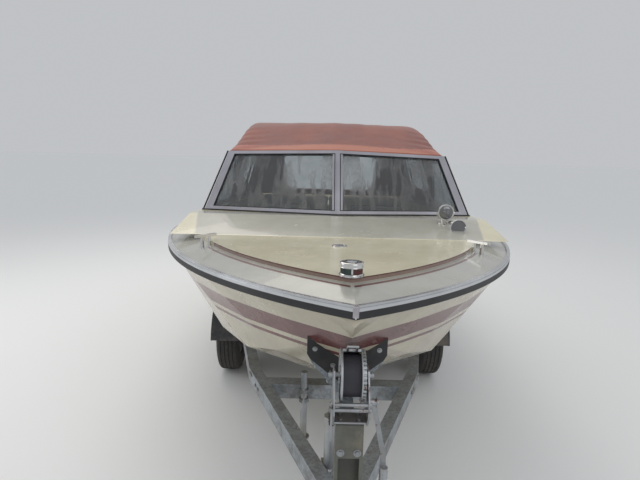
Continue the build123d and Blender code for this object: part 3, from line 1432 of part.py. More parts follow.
# Side bunks: padded planks under the hull's bottom, on posts from the cross-members
with BuildPart() as bunks:
    with BuildSketch(Plane.XZ.offset(-(BOW_Y + BUNK_BACK))):
        with Locations((BUNK_X, KEEL_Z + 90)):
            Rectangle(BUNK_WIDE, 100)
    extrude(amount=BUNK_BACK - BUNK_FRONT)
    add(hull.part, mode=Mode.SUBTRACT)
    mirror(about=Plane.YZ)
keep(bunks, "bunks")

# Axles: square beams under the side rails, with trailing arms and stub axles
HUB_Z = WHEEL_RADIUS
RAIL_OUT = RAIL_BEND[1]
ARM_THICK = 14
ARM_IN = RAIL_OUT + 3
WHEEL_IN = WHEEL_TRACK / 2 - TYRE_WIDE / 2
STUB_OUT = WHEEL_TRACK / 2 + 34
RIM_SIDE_IN = WHEEL_TRACK / 2 - ARM_IN - ARM_THICK - 5
with BuildPart() as axles:
    for aft in AXLE_AFTS:
        with BuildSketch(Plane.YZ.offset(-ARM_IN)):
            with Locations((BOW_Y + aft - ARM_TRAIL, FRAME_LOW - AXLE_SQUARE / 2)):
                Rectangle(AXLE_SQUARE, AXLE_SQUARE)
        extrude(amount=2 * ARM_IN)
        for side in (1, -1):
            with BuildSketch(Plane.YZ.offset(side * ARM_IN)):
                with BuildLine():
                    Polyline(
                        (BOW_Y + aft - ARM_TRAIL - 28, FRAME_LOW - AXLE_SQUARE),
                        (BOW_Y + aft - ARM_TRAIL - 28, FRAME_LOW - 4),
                        (BOW_Y + aft - ARM_TRAIL + 28, FRAME_LOW - 4),
                        (BOW_Y + aft + 8, HUB_Z + 26),
                        (BOW_Y + aft + 26, HUB_Z),
                        (BOW_Y + aft, HUB_Z - 26),
                        close=True,
                    )
                make_face()
            extrude(amount=side * ARM_THICK)
            with BuildSketch(Plane.YZ.offset(side * ARM_IN)):
                with Locations((BOW_Y + aft, HUB_Z)):
                    Circle(STUB_RADIUS)
            extrude(amount=side * (STUB_OUT - ARM_IN))
keep(axles, "axles")

# Road wheels: tyre and rim on each stub axle. Columns: name, side, aft
WHEELS = (
    ("front_right", 1, AXLE_AFTS[0]),
    ("front_left", -1, AXLE_AFTS[0]),
    ("rear_right", 1, AXLE_AFTS[1]),
    ("rear_left", -1, AXLE_AFTS[1]),
)
for name, side, aft in WHEELS:
    wheel_x = side * WHEEL_TRACK / 2
    hub_axis = Axis((wheel_x, BOW_Y + aft, HUB_Z), (1, 0, 0))
    half = TYRE_WIDE / 2
    with BuildPart() as tyre:
        with BuildSketch(Plane.XY.offset(HUB_Z)):
            with BuildLine():
                Polyline(
                    (wheel_x - half + 20, BOW_Y + aft + RIM_INNER),
                    (wheel_x - half, BOW_Y + aft + RIM_INNER + 38),
                    (wheel_x - half, BOW_Y + aft + RIM_INNER + 80),
                    (wheel_x - half + 14, BOW_Y + aft + WHEEL_RADIUS - 8),
                    (wheel_x - half + 30, BOW_Y + aft + WHEEL_RADIUS),
                    (wheel_x + half - 30, BOW_Y + aft + WHEEL_RADIUS),
                    (wheel_x + half - 14, BOW_Y + aft + WHEEL_RADIUS - 8),
                    (wheel_x + half, BOW_Y + aft + RIM_INNER + 80),
                    (wheel_x + half, BOW_Y + aft + RIM_INNER + 38),
                    (wheel_x + half - 20, BOW_Y + aft + RIM_INNER),
                    close=True,
                )
            make_face()
        revolve(axis=hub_axis)
    keep(tyre, f"tyre_{name}")

    with BuildPart() as rim:
        with BuildSketch(Plane.XY.offset(HUB_Z)):
            with BuildLine():
                Polyline(*[
                    (wheel_x + side * x, BOW_Y + aft + y)
                    for x, y in (
                        (-RIM_SIDE_IN, STUB_RADIUS + PIN_GAP),
                        (-RIM_SIDE_IN, HUB_RADIUS),
                        (10, HUB_RADIUS + 6),
                        (24, HUB_RADIUS + 30),
                        (12, RIM_INNER - 40),
                        (8, RIM_INNER - 12),
                        (-62, RIM_INNER - 12),
                        (-62, RIM_INNER),
                        (62, RIM_INNER),
                        (68, RIM_INNER - 8),
                        (16, RIM_INNER - 14),
                        (20, RIM_INNER - 42),
                        (32, HUB_RADIUS + 28),
                        (30, HUB_RADIUS),
                        (44, HUB_RADIUS - 6),
                        (44, 0),
                        (36, 0),
                        (36, STUB_RADIUS + PIN_GAP),
                    )
                ], close=True)
            make_face()
        revolve(axis=hub_axis)
        with BuildSketch(Plane.YZ.offset(wheel_x - TYRE_WIDE)):
            with Locations((BOW_Y + aft, HUB_Z)):
                with PolarLocations(RIM_INNER - 42, 12):
                    SlotOverall(34, 18, rotation=90)
        extrude(amount=2 * TYRE_WIDE, mode=Mode.SUBTRACT)
    keep(rim, f"rim_{name}")

# Mudguards: one long arched plate over both wheels of a side, carried by brackets from the side rail
GUARD_RADIUS = WHEEL_RADIUS + GUARD_GAP
GUARD_LOW = HUB_Z + 40
with BuildPart() as mudguards:
    with BuildSketch(Plane.YZ.offset(WHEEL_TRACK / 2 - GUARD_WIDE / 2)):
        for reach, mode in ((GUARD_RADIUS + GUARD_THICK, Mode.ADD), (GUARD_RADIUS, Mode.SUBTRACT)):
            for aft in AXLE_AFTS:
                with Locations((BOW_Y + aft, HUB_Z)):
                    Circle(reach, mode=mode)
            with Locations((BOW_Y + sum(AXLE_AFTS) / 2, HUB_Z)):
                Rectangle(AXLE_AFTS[1] - AXLE_AFTS[0], 2 * reach, mode=mode)
        with Locations((BOW_Y + sum(AXLE_AFTS) / 2, GUARD_LOW - WHEEL_RADIUS)):
            Rectangle(HULL_LENGTH, 2 * WHEEL_RADIUS, mode=Mode.SUBTRACT)
    extrude(amount=GUARD_WIDE)
    mirror(about=Plane.YZ)
keep(mudguards, "mudguards")

# Tail lamps: one unit near each end of the lamp beam
with BuildPart() as tail_lamps:
    for side in (1, -1):
        with BuildSketch(station(RAIL_STERN + LAMP_BEAM_DEEP)):
            with Locations((side * (LAMP_BEAM_HALF - 130), LAMP_BEAM_LOW + 35)):
                RectangleRounded(210, 110, 14)
        extrude(amount=-45)
        fillet(tail_lamps.edges().filter_by(GeomType.LINE).group_by(Axis.Y)[-1], 6)
keep(tail_lamps, "tail_lamps")

# Brackets on the frame: roller forks with their pins, bunk posts, mudguard arms and the steady leg's collars
GUARD_ARM = 8
GUARD_ARM_WIDE = 40
BUNK_LOW = KEEL_Z + 40
LEG_Y = BOW_Y + CROSS_AFTS[0] - FRONT_CROSS_LONG / 2 - 32
COLLAR_GAP = 0.3
middle_y = BOW_Y + sum(AXLE_AFTS) / 2
with BuildPart() as trailer_brackets:
    for aft in CROSS_AFTS[1:]:
        roller_z = keel_z(aft) - ROLLER_WAIST - CLEAR
        with BuildSketch(Plane.YZ.offset(ROLLER_LONG / 2 + 3)):
            with BuildLine():
                Polyline(
                    (BOW_Y + aft - 28, FRAME_LOW + CROSS_HIGH),
                    (BOW_Y + aft - 14, roller_z + 16),
                    (BOW_Y + aft + 14, roller_z + 16),
                    (BOW_Y + aft + 28, FRAME_LOW + CROSS_HIGH),
                    close=True,
                )
            make_face()
        extrude(amount=6)
        with BuildSketch(Plane.YZ):
            with Locations((BOW_Y + aft, roller_z)):
                Circle(ROLLER_PIN)
        extrude(amount=ROLLER_LONG / 2 + 14)
    for aft in CROSS_AFTS[2:]:
        with BuildSketch(Plane.XY.offset(FRAME_LOW + CROSS_HIGH)):
            with Locations((BUNK_X, BOW_Y + aft)):
                Rectangle(40, 40)
        extrude(amount=BUNK_LOW - FRAME_LOW - CROSS_HIGH)
    with BuildSketch(Plane.XY.offset(FRAME_TOP - 40)):
        with Locations(((RAIL_OUT + WHEEL_TRACK / 2) / 2, middle_y)):
            Rectangle(WHEEL_TRACK / 2 - RAIL_OUT, GUARD_ARM_WIDE)
    extrude(amount=GUARD_ARM)
    with BuildSketch(Plane.YZ.offset(WHEEL_TRACK / 2 - GUARD_ARM)):
        with Locations((middle_y, (FRAME_TOP - 40 + HUB_Z + GUARD_RADIUS) / 2)):
            Rectangle(GUARD_ARM_WIDE, HUB_Z + GUARD_RADIUS - FRAME_TOP + 40)
    extrude(amount=GUARD_ARM)
    for way in (1, -1):
        with BuildSketch(Plane.XY.offset(HUB_Z + 95)):
            guard_end = (AXLE_AFTS[1] - AXLE_AFTS[0]) / 2 + GUARD_RADIUS - 8
            with Locations((RAIL_OUT + 30, middle_y + way * guard_end)):
                Rectangle(70, 12)
        extrude(amount=20)
    add(mudguards.part, mode=Mode.SUBTRACT)
    add(side_rails.part, mode=Mode.SUBTRACT)
    mirror(about=Plane.YZ)
    for collar_z in (FRAME_LOW + 4, FRAME_TOP - 24):
        with BuildSketch(Plane.XY.offset(collar_z)):
            with Locations((LEG_X, LEG_Y)):
                Circle(LEG_RADIUS + 8)
            with Locations((LEG_X, LEG_Y + 17)):
                Rectangle(30, 30)
            with Locations((LEG_X, LEG_Y)):
                Circle(LEG_RADIUS + COLLAR_GAP, mode=Mode.SUBTRACT)
        extrude(amount=20)
keep(trailer_brackets, "trailer_brackets")

# Steady leg: a rod with a foot plate that slides in the two collars
with BuildPart() as steady_leg:
    with BuildSketch(Plane.XY.offset(LEG_BOTTOM)):
        with Locations((LEG_X, LEG_Y)):
            Circle(LEG_RADIUS)
    extrude(amount=LEG_TOP - LEG_BOTTOM)
    with BuildSketch(Plane.XY.offset(LEG_BOTTOM)):
        with Locations((LEG_X, LEG_Y)):
            Circle(32)
    extrude(amount=6)
keep(steady_leg, "steady_leg")

# Jockey wheel: clamped outer tube on the left arm, inner tube, swivelling fork and wheel
JOCKEY_Y = BOW_Y + JOCKEY_AFT
JOCKEY = Vector(JOCKEY_X, JOCKEY_Y, 0)
SLEEVE_IN = JOCKEY_TUBE - JOCKEY_WALL
INNER_TUBE = SLEEVE_IN - 0.4
STEM_RADIUS = 10
with BuildPart() as jockey_clamp:
    for clamp_z in (FRAME_LOW + 12, FRAME_TOP - 32):
        with BuildSketch(Plane.XY.offset(clamp_z)):
            with Locations(JOCKEY):
                Circle(JOCKEY_TUBE + 9)
            with Locations((JOCKEY_X, JOCKEY_Y + 20)):
                Rectangle(2 * JOCKEY_TUBE + 18, 60)
            with Locations(JOCKEY):
                Circle(JOCKEY_TUBE, mode=Mode.SUBTRACT)
        extrude(amount=20)
    add(drawbar_arms.part, mode=Mode.SUBTRACT)
    with BuildSketch(Plane.XY.offset(JOCKEY_TUBE_LOW)):
        with Locations(JOCKEY):
            Circle(JOCKEY_TUBE)
            Circle(SLEEVE_IN, mode=Mode.SUBTRACT)
    extrude(amount=JOCKEY_TOP - JOCKEY_TUBE_LOW)
    with BuildSketch(Plane.XY.offset(JOCKEY_TOP)):
        with Locations(JOCKEY):
            Circle(JOCKEY_TUBE + 2)
    extrude(amount=14)
    with BuildSketch(Plane.XY.offset(JOCKEY_TOP + 14)):
        with Locations(JOCKEY):
            Circle(7)
    extrude(amount=16)
    with BuildSketch(Plane.XY.offset(JOCKEY_TOP + 22)):
        with Locations(JOCKEY - Vector(0, 45, 0)):
            Rectangle(12, 104)
    extrude(amount=6)
keep(jockey_clamp, "jockey_clamp")

FORK_TOP = 2 * JOCKEY_RADIUS + 26
with BuildPart() as jockey_inner:
    with BuildSketch(Plane.XY.offset(FORK_TOP + 10)):
        with Locations(JOCKEY):
            Circle(INNER_TUBE)
    extrude(amount=JOCKEY_TOP - 175 - FORK_TOP)
    with BuildSketch(Plane.XY.offset(FORK_TOP + 10)):
        with Locations(JOCKEY):
            Circle(STEM_RADIUS + PIN_GAP)
    extrude(amount=40, mode=Mode.SUBTRACT)
keep(jockey_inner, "jockey_inner")

WHEEL_HALF = JOCKEY_WHEEL_WIDE / 2
with BuildPart() as jockey_fork:
    with BuildSketch(Plane.XY.offset(FORK_TOP)):
        with Locations(JOCKEY + Vector(0, JOCKEY_TRAIL / 2, 0)):
            RectangleRounded(2 * WHEEL_HALF + 26, JOCKEY_TRAIL + 40, 8)
    extrude(amount=6)
    with BuildSketch(Plane.XY.offset(FORK_TOP)):
        with Locations(JOCKEY):
            Circle(STEM_RADIUS)
    extrude(amount=44)
    for side in (1, -1):
        with BuildSketch(Plane.YZ.offset(JOCKEY_X + side * (WHEEL_HALF + 7))):
            with BuildLine():
                Polyline(
                    (JOCKEY_Y - 8, FORK_TOP + 2),
                    (JOCKEY_Y + JOCKEY_TRAIL + 8, FORK_TOP + 2),
                    (JOCKEY_Y + JOCKEY_TRAIL + 16, JOCKEY_RADIUS - 16),
                    (JOCKEY_Y + JOCKEY_TRAIL - 16, JOCKEY_RADIUS - 16),
                    close=True,
                )
            make_face()
        extrude(amount=side * 5)
    with BuildSketch(Plane.YZ.offset(JOCKEY_X - WHEEL_HALF - 16)):
        with Locations((JOCKEY_Y + JOCKEY_TRAIL, JOCKEY_RADIUS)):
            Circle(8)
    extrude(amount=2 * WHEEL_HALF + 32)
keep(jockey_fork, "jockey_fork")

with BuildPart() as jockey_wheel:
    with BuildSketch(Plane.XY.offset(JOCKEY_RADIUS)):
        with BuildLine():
            Polyline(*[
                (JOCKEY_X + x, JOCKEY_Y + JOCKEY_TRAIL + y)
                for x, y in (
                    (-WHEEL_HALF, 8 + PIN_GAP),
                    (-WHEEL_HALF, 24),
                    (-WHEEL_HALF + 14, 30),
                    (-WHEEL_HALF + 14, 66),
                    (-WHEEL_HALF, 72),
                    (-WHEEL_HALF, 92),
                    (-WHEEL_HALF + 12, JOCKEY_RADIUS),
                    (WHEEL_HALF - 12, JOCKEY_RADIUS),
                    (WHEEL_HALF, 92),
                    (WHEEL_HALF, 72),
                    (WHEEL_HALF - 14, 66),
                    (WHEEL_HALF - 14, 30),
                    (WHEEL_HALF, 24),
                    (WHEEL_HALF, 8 + PIN_GAP),
                )
            ], close=True)
        make_face()
    revolve(axis=Axis((JOCKEY_X, JOCKEY_Y + JOCKEY_TRAIL, JOCKEY_RADIUS), (1, 0, 0)))
keep(jockey_wheel, "jockey_wheel")
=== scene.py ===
import bmesh
import bpy
import json
import math
from mathutils import Matrix, Vector, noise as field

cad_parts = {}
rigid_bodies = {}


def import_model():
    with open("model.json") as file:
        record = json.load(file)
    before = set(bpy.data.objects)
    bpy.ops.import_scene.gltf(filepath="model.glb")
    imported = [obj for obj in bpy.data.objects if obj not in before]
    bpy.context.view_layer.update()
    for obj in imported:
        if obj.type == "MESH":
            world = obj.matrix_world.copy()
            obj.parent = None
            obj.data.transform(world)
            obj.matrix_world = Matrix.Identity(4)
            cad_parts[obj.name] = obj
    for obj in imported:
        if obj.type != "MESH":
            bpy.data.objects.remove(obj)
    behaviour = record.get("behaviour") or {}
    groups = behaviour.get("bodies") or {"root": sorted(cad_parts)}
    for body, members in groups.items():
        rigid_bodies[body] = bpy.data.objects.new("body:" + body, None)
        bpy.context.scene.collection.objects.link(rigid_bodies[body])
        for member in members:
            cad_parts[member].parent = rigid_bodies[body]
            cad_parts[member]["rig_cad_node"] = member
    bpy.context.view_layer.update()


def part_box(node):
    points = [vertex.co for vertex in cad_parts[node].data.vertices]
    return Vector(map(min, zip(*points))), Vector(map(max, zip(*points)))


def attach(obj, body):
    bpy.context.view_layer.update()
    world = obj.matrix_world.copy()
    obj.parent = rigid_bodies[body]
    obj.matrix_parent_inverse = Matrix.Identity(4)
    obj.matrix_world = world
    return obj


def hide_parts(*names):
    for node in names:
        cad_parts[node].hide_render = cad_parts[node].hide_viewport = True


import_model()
bpy.ops.object.select_all(action="DESELECT")

# Same frame as the solids: bow towards -Y, metres, Z up. "Aft" is measured from the tip of the rub rail.
BOW = -2.365
SHEER_FALL = 0.02
SHEER_TIP = 1.22


def sheer(y):
    """Height of the joint between hull and deck."""
    return SHEER_TIP - SHEER_FALL * (y - BOW)


# ---------------------------------------------------------------- camera, floor and lamps
EYE = Vector((-0.120, -3.689, 1.65))
DIP = math.radians(9.9)
TURN = math.radians(0.45)
LEAN = math.radians(1.5)


def place_camera():
    ahead = Vector((math.sin(TURN) * math.cos(DIP), math.cos(TURN) * math.cos(DIP), -math.sin(DIP)))
    right = ahead.cross(Vector((0, 0, 1))).normalized()
    up = right.cross(ahead)
    leaned_right = right * math.cos(LEAN) + up * math.sin(LEAN)
    leaned_up = up * math.cos(LEAN) - right * math.sin(LEAN)
    turn = Matrix((leaned_right, leaned_up, -ahead)).transposed()
    lens = bpy.data.cameras.new("camera")
    lens.lens = 27
    lens.sensor_width = 36
    lens.clip_start = 0.05
    camera = bpy.data.objects.new("camera", lens)
    camera.matrix_world = Matrix.Translation(EYE) @ turn.to_4x4()
    bpy.context.collection.objects.link(camera)
    bpy.context.scene.camera = camera


def place_floor():
    bpy.ops.mesh.primitive_plane_add(size=400, location=(0, 0, -0.002))
    floor = bpy.context.object
    floor.name = "floor"
    paint = bpy.data.materials.new("floor_paint")
    paint.use_nodes = True
    paint.node_tree.nodes["Principled BSDF"].inputs["Base Color"].default_value = (0.82, 0.82, 0.81, 1)
    paint.node_tree.nodes["Principled BSDF"].inputs["Roughness"].default_value = 0.85
    floor.data.materials.append(paint)


def place_lamps():
    world = bpy.data.worlds.new("studio")
    world.use_nodes = True
    tree = world.node_tree
    tree.nodes.clear()
    fill = made(tree, "Background", Color=(0.93, 0.96, 1.0, 1), Strength=0.68)
    seen = made(tree, "Background", Color=(0.525, 0.538, 0.556, 1), Strength=1.0)
    rays = made(tree, "LightPath").outputs
    seen_by = maths(tree, "MAXIMUM", rays["Is Glossy Ray"], rays["Is Transmission Ray"])
    mix = made(tree, "MixShader")
    for slot, source in zip(mix.inputs, (
        maths(tree, "MAXIMUM", rays["Is Camera Ray"], seen_by), fill.outputs[0], seen.outputs[0],
    )):
        feed(tree, slot, source)
    made(tree, "OutputWorld", Surface=mix.outputs[0])
    bpy.context.scene.world = world
    for name, spot, size, watts, colour in (
        ("high_lamp", (-1.5, 2.5, 6.0), 5.0, 115, (1.0, 0.95, 0.86)),
        ("front_lamp", (2.5, -6.0, 4.0), 3.5, 50, (0.95, 0.97, 1.0)),
        ("side_lamp", (-5.5, -1.0, 3.0), 3.0, 42, (1.0, 1.0, 1.0)),
    ):
        light = bpy.data.lights.new(name, "AREA")
        light.size = size
        light.energy = watts
        light.color = colour
        lamp = bpy.data.objects.new(name, light)
        lamp.location = spot
        lamp.rotation_euler = (Vector((0, -0.5, 0.8)) - Vector(spot)).to_track_quat("-Z", "Y").to_euler()
        bpy.context.collection.objects.link(lamp)


# ---------------------------------------------------------------- shared surface effects
def feed(tree, slot, value):
    """Link a socket to an input, or set the input to a number, a colour or a vector."""
    if isinstance(value, bpy.types.NodeSocket):
        tree.links.new(value, slot)
    else:
        slot.default_value = value


def made(tree, kind, **inputs):
    """New shader node with its inputs fed. In their names an underscore stands for a space."""
    node = tree.nodes.new("ShaderNode" + kind)
    for name, value in inputs.items():
        feed(tree, node.inputs[name.replace("_", " ")], value)
    return node


def maths(tree, kind, *values):
    node = made(tree, "Math")
    node.operation = kind
    for slot, value in zip(node.inputs, values):
        feed(tree, slot, value)
    return node.outputs[0]


def times(tree, first, second):
    return maths(tree, "MULTIPLY", first, second)


def scaled(tree, value, factor, shift):
    """value * factor + shift"""
    return maths(tree, "MULTIPLY_ADD", value, factor, shift)


def spread(tree, value, low, high, to_low=0.0, to_high=1.0):
    """A smooth Map Range between two levels."""
    node = made(tree, "MapRange", Value=value, From_Min=low, From_Max=high, To_Min=to_low, To_Max=to_high)
    node.interpolation_type = "SMOOTHSTEP"
    return node.outputs["Result"]


def band(tree, value, low, high, soft=0.0006):
    """1 where the value lies between two levels, 0 elsewhere."""
    rise = spread(tree, value, low - soft, low + soft)
    fall = spread(tree, value, high - soft, high + soft, 1.0, 0.0)
    return times(tree, rise, fall)


def tint(tree, mask, below, above):
    """Colour mix by a mask; colours are tuples or sockets. Returns the colour output."""
    node = made(tree, "Mix")
    node.data_type = "RGBA"
    feed(tree, node.inputs["Factor"], mask)
    for slot, colour in ((node.inputs[6], below), (node.inputs[7], above)):
        feed(tree, slot, (*colour, 1) if isinstance(colour, tuple) else colour)
    return node.outputs[2]


def noise(tree, vector, scale, detail=4.0, rough=0.55):
    return made(tree, "TexNoise", Vector=vector, Scale=scale, Detail=detail, Roughness=rough).outputs["Fac"]


def cells(tree, vector, scale, feature="F1"):
    """Outputs of a Voronoi texture."""
    node = made(tree, "TexVoronoi", Vector=vector, Scale=scale)
    node.feature = feature
    return node.outputs


def split(tree, vector):
    """The X, Y and Z of a vector."""
    return made(tree, "SeparateXYZ", Vector=vector).outputs


def stretched(tree, vector, scale):
    return made(tree, "Mapping", Vector=vector, Scale=scale).outputs["Vector"]


def mottled(tree, source, below, above):
    """Two colours in the blotches of a noise."""
    return tint(tree, spread(tree, source, 0.35, 0.7), below, above)


def uneven(tree, source, low, high):
    """A value that wanders between two levels with a noise."""
    return spread(tree, source, 0.3, 0.7, low, high)


def effect(name, outputs, **numbers):
    """New shader node group that takes a vector and numbers with their defaults, and gives numbers.

    Returns its tree and the sockets inside it, given and wanted."""
    group = bpy.data.node_groups.new(name, "ShaderNodeTree")
    group.interface.new_socket(name="Vector", in_out="INPUT", socket_type="NodeSocketVector")
    for label, value in numbers.items():
        socket = group.interface.new_socket(name=label, in_out="INPUT", socket_type="NodeSocketFloat")
        socket.default_value = value
    for label in outputs:
        group.interface.new_socket(name=label, in_out="OUTPUT", socket_type="NodeSocketFloat")
    return group, group.nodes.new("NodeGroupInput").outputs, group.nodes.new("NodeGroupOutput").inputs


def make_grain():
    """Fine pores and soft waviness of a moulded or cast surface."""
    group, given, out = effect("surface_grain", ("Height", "Tone"), Scale=400.0, Wave=0.3)
    fine = noise(group, given["Vector"], given["Scale"], 3.0)
    broad = noise(group, given["Vector"], 6.0, 2.0)
    wave = times(group, broad, given["Wave"])
    feed(group, out["Height"], maths(group, "ADD", fine, wave))
    blotch = noise(group, given["Vector"], 3.2, 5.0, 0.62)
    feed(group, out["Tone"], spread(group, blotch, 0.32, 0.70))
    return group


def make_grime():
    """Dirt mask: blotches that thicken downwards, with rain streaks."""
    group, given, out = effect("grime", ("Mask", "Streaks"), Scale=9.0, Low=0.2, High=1.0)
    height = made(group, "MapRange", Value=split(group, given["Vector"])["Z"], From_Min=given["Low"],
                  From_Max=given["High"], To_Min=0.16, To_Max=-0.05)
    blotch = noise(group, given["Vector"], given["Scale"], 6.0, 0.66)
    sum_up = maths(group, "ADD", blotch, height.outputs["Result"])
    feed(group, out["Mask"], spread(group, sum_up, 0.48, 0.80))
    runs = noise(group, stretched(group, given["Vector"], (34, 34, 1.6)), 1.0, 4.0, 0.6)
    feed(group, out["Streaks"], spread(group, runs, 0.56, 0.78))
    return group


def make_weave():
    """Plain weave from the piece's own U and V: height of the threads and shade between them."""
    group, given, out = effect("weave", ("Height", "Shade"), Threads=900.0)
    threads = split(group, given["Vector"])
    waves = []
    for axis in ("X", "Y"):
        turn = times(group, threads[axis], given["Threads"])
        waves.append(scaled(group, maths(group, "SINE", turn), 0.5, 0.5))
    top = maths(group, "MAXIMUM", waves[0], waves[1])
    feed(group, out["Height"], top)
    feed(group, out["Shade"], scaled(group, top, 0.3, 0.7))
    return group


def make_droplets():
    """Dew: round drops of two sizes and clear runs between them."""
    group, given, out = effect("dew", ("Drops", "Mist"))
    sums = None
    for scale, limit in ((260.0, 0.34), (110.0, 0.20)):
        drop = spread(group, cells(group, given["Vector"], scale)["Distance"], limit * 0.6, limit, 1.0, 0.0)
        sums = drop if sums is None else maths(group, "MAXIMUM", sums, drop)
    runs = noise(group, stretched(group, given["Vector"], (26, 9, 2.2)), 1.0, 3.0, 0.5)
    kept = spread(group, runs, 0.46, 0.58)
    feed(group, out["Drops"], times(group, sums, kept))
    veil = noise(group, given["Vector"], 4.0, 4.0, 0.6)
    feed(group, out["Mist"], times(group, kept, uneven(group, veil, 0.35, 1.0)))
    return group


def make_rust():
    """Rust freckles, gathered in patches."""
    group, given, out = effect("rust", ("Mask",), Scale=60.0, Amount=0.3)
    spots = noise(group, given["Vector"], given["Scale"], 5.0, 0.7)
    patch = noise(group, given["Vector"], 5.0, 3.0)
    level = maths(group, "ADD", times(group, spots, 0.7), times(group, patch, 0.5))
    lift = maths(group, "ADD", level, times(group, given["Amount"], 0.3))
    feed(group, out["Mask"], spread(group, lift, 0.74, 0.84))
    return group


GRAIN = make_grain()
GRIME = make_grime()
WEAVE = make_weave()
DEW = make_droplets()
RUST = make_rust()


def place_group(tree, group, vector, **values):
    """Put an effect into a material. Returns its outputs."""
    node = made(tree, "Group")
    node.node_tree = group
    for name, value in {"Vector": vector, **values}.items():
        feed(tree, node.inputs[name], value)
    return node.outputs


class Finish:
    """A material under way: its tree, its Object coordinates and its shader."""

    def __init__(self, name, roughness=0.5, metallic=0.0, coat=0.0):
        self.material = bpy.data.materials.new(name)
        self.material.use_nodes = True
        self.tree = self.material.node_tree
        self.shader = self.tree.nodes["Principled BSDF"]
        self.give("Roughness", roughness)
        self.give("Metallic", metallic)
        self.give("Coat Weight", coat)
        coords = made(self.tree, "TexCoord").outputs
        self.place, self.uv = coords["Object"], coords["UV"]
        self.x, self.y, self.z = split(self.tree, self.place)

    def give(self, name, value):
        """Feed an input of the shader."""
        feed(self.tree, self.shader.inputs[name], value)

    def sheer(self):
        """Height of the sheer at this place."""
        return scaled(self.tree, self.y, -SHEER_FALL, SHEER_TIP + SHEER_FALL * BOW)

    def surface(self, colour, rough, height, distance, strength=1.0):
        """Colour, roughness and relief. Returns the finished material."""
        self.give("Base Color", colour)
        self.give("Roughness", rough)
        relief = made(self.tree, "Bump", Height=height, Distance=distance, Strength=strength)
        self.give("Normal", relief.outputs["Normal"])
        return self.material


DUST = (0.34, 0.29, 0.22)
SOOT = (0.12, 0.11, 0.10)
RUST_BROWN = (0.22, 0.085, 0.03)


def plain_finish(name, colour, rough, metallic, coat, grain, depth, dirt, low, high, rust, tone, dirt_colour=DUST):
    """Moulded, painted or plated surface with grain, uneven tone, dirt and, on steel, rust freckles."""
    f = Finish(name, rough, metallic, coat)
    t = f.tree
    grains = place_group(t, GRAIN, f.place, Scale=grain)
    grime = place_group(t, GRIME, f.place, Low=low, High=high)
    darker = tuple(c * (1 - 2 * tone) for c in colour)
    lighter = tuple(min(1.0, c * (1 + tone)) for c in colour)
    shade = tint(t, grains["Tone"], darker, lighter)
    dirty = tint(t, times(t, grime["Mask"], dirt), shade, dirt_colour)
    level = scaled(t, grains["Tone"], 0.12, rough - 0.06)
    level = scaled(t, grime["Mask"], 0.3 * dirt, level)
    if rust:
        spots = place_group(t, RUST, f.place, Amount=rust)
        dirty = tint(t, spots["Mask"], dirty, RUST_BROWN)
        level = scaled(t, spots["Mask"], 0.35, level)
    return f.surface(dirty, level, grains["Height"], depth)


place_camera()
place_floor()
place_lamps()
bpy.context.scene.view_settings.view_transform = "Standard"

# ---------------------------------------------------------------- finishes
# Depths below the sheer, of the hull's two stripes and of the rub rail's bright moulding
BROAD_STRIPE = (0.128, 0.214)
FINE_STRIPE = (0.238, 0.256)
MOULDING = 0.0105
# Heights over the sheer: edge of the flat deck, the step round it and its two lines, foot of the coaming's front
DECK_EDGE = 0.0280
STEP = (0.0285, 0.0450)
UPPER_LINE = (0.0405, 0.0450)
LOWER_LINE = (0.0222, 0.0245)
RISER_FOOT = 0.0480
STEP_END = BOW + 0.85
# Tail lamps: where red turns to amber, and the plane between housing and lens
AMBER_FROM = 0.743
LENS_FACE = BOW + 4.3865
MAROON = (0.115, 0.030, 0.030)
# Painted shade: the step's face, cream gelcoat in shade, coloured mauve
SHADED_STEP_MAUVE = (0.25, 0.165, 0.14)


def hull_finish():
    """Gelcoat topsides with a broad maroon band and a thin line under it, both parallel to the sheer."""
    f = Finish("hull_gelcoat", 0.22, 0.0, 0.35)
    t = f.tree
    below = maths(t, "SUBTRACT", f.sheer(), f.z)
    grains = place_group(t, GRAIN, f.place, Scale=160.0, Wave=2.2)
    grime = place_group(t, GRIME, f.place, Scale=5.0, Low=0.45, High=0.95)
    cream = tint(t, grains["Tone"], (0.47, 0.42, 0.32), (0.57, 0.52, 0.40))
    fade = noise(t, f.place, 14.0, 5.0, 0.7)
    wine = mottled(t, fade, MAROON, (0.17, 0.055, 0.05))
    stripes = maths(t, "MAXIMUM", band(t, below, *BROAD_STRIPE), band(t, below, *FINE_STRIPE))
    worn = times(t, stripes, spread(t, noise(t, f.place, 55.0, 6.0, 0.75), 0.30, 0.36, 0.75, 1.0))
    shade = tint(t, worn, cream, wine)
    runs = times(t, grime["Streaks"], 0.16)
    shade = tint(t, runs, shade, (0.27, 0.23, 0.17))
    shade = tint(t, times(t, grime["Mask"], 0.45), shade, (0.24, 0.20, 0.14))
    level = scaled(t, grains["Tone"], 0.1, 0.18)
    return f.surface(shade, scaled(t, grime["Mask"], 0.15, level), grains["Height"], 0.0006, 0.35)


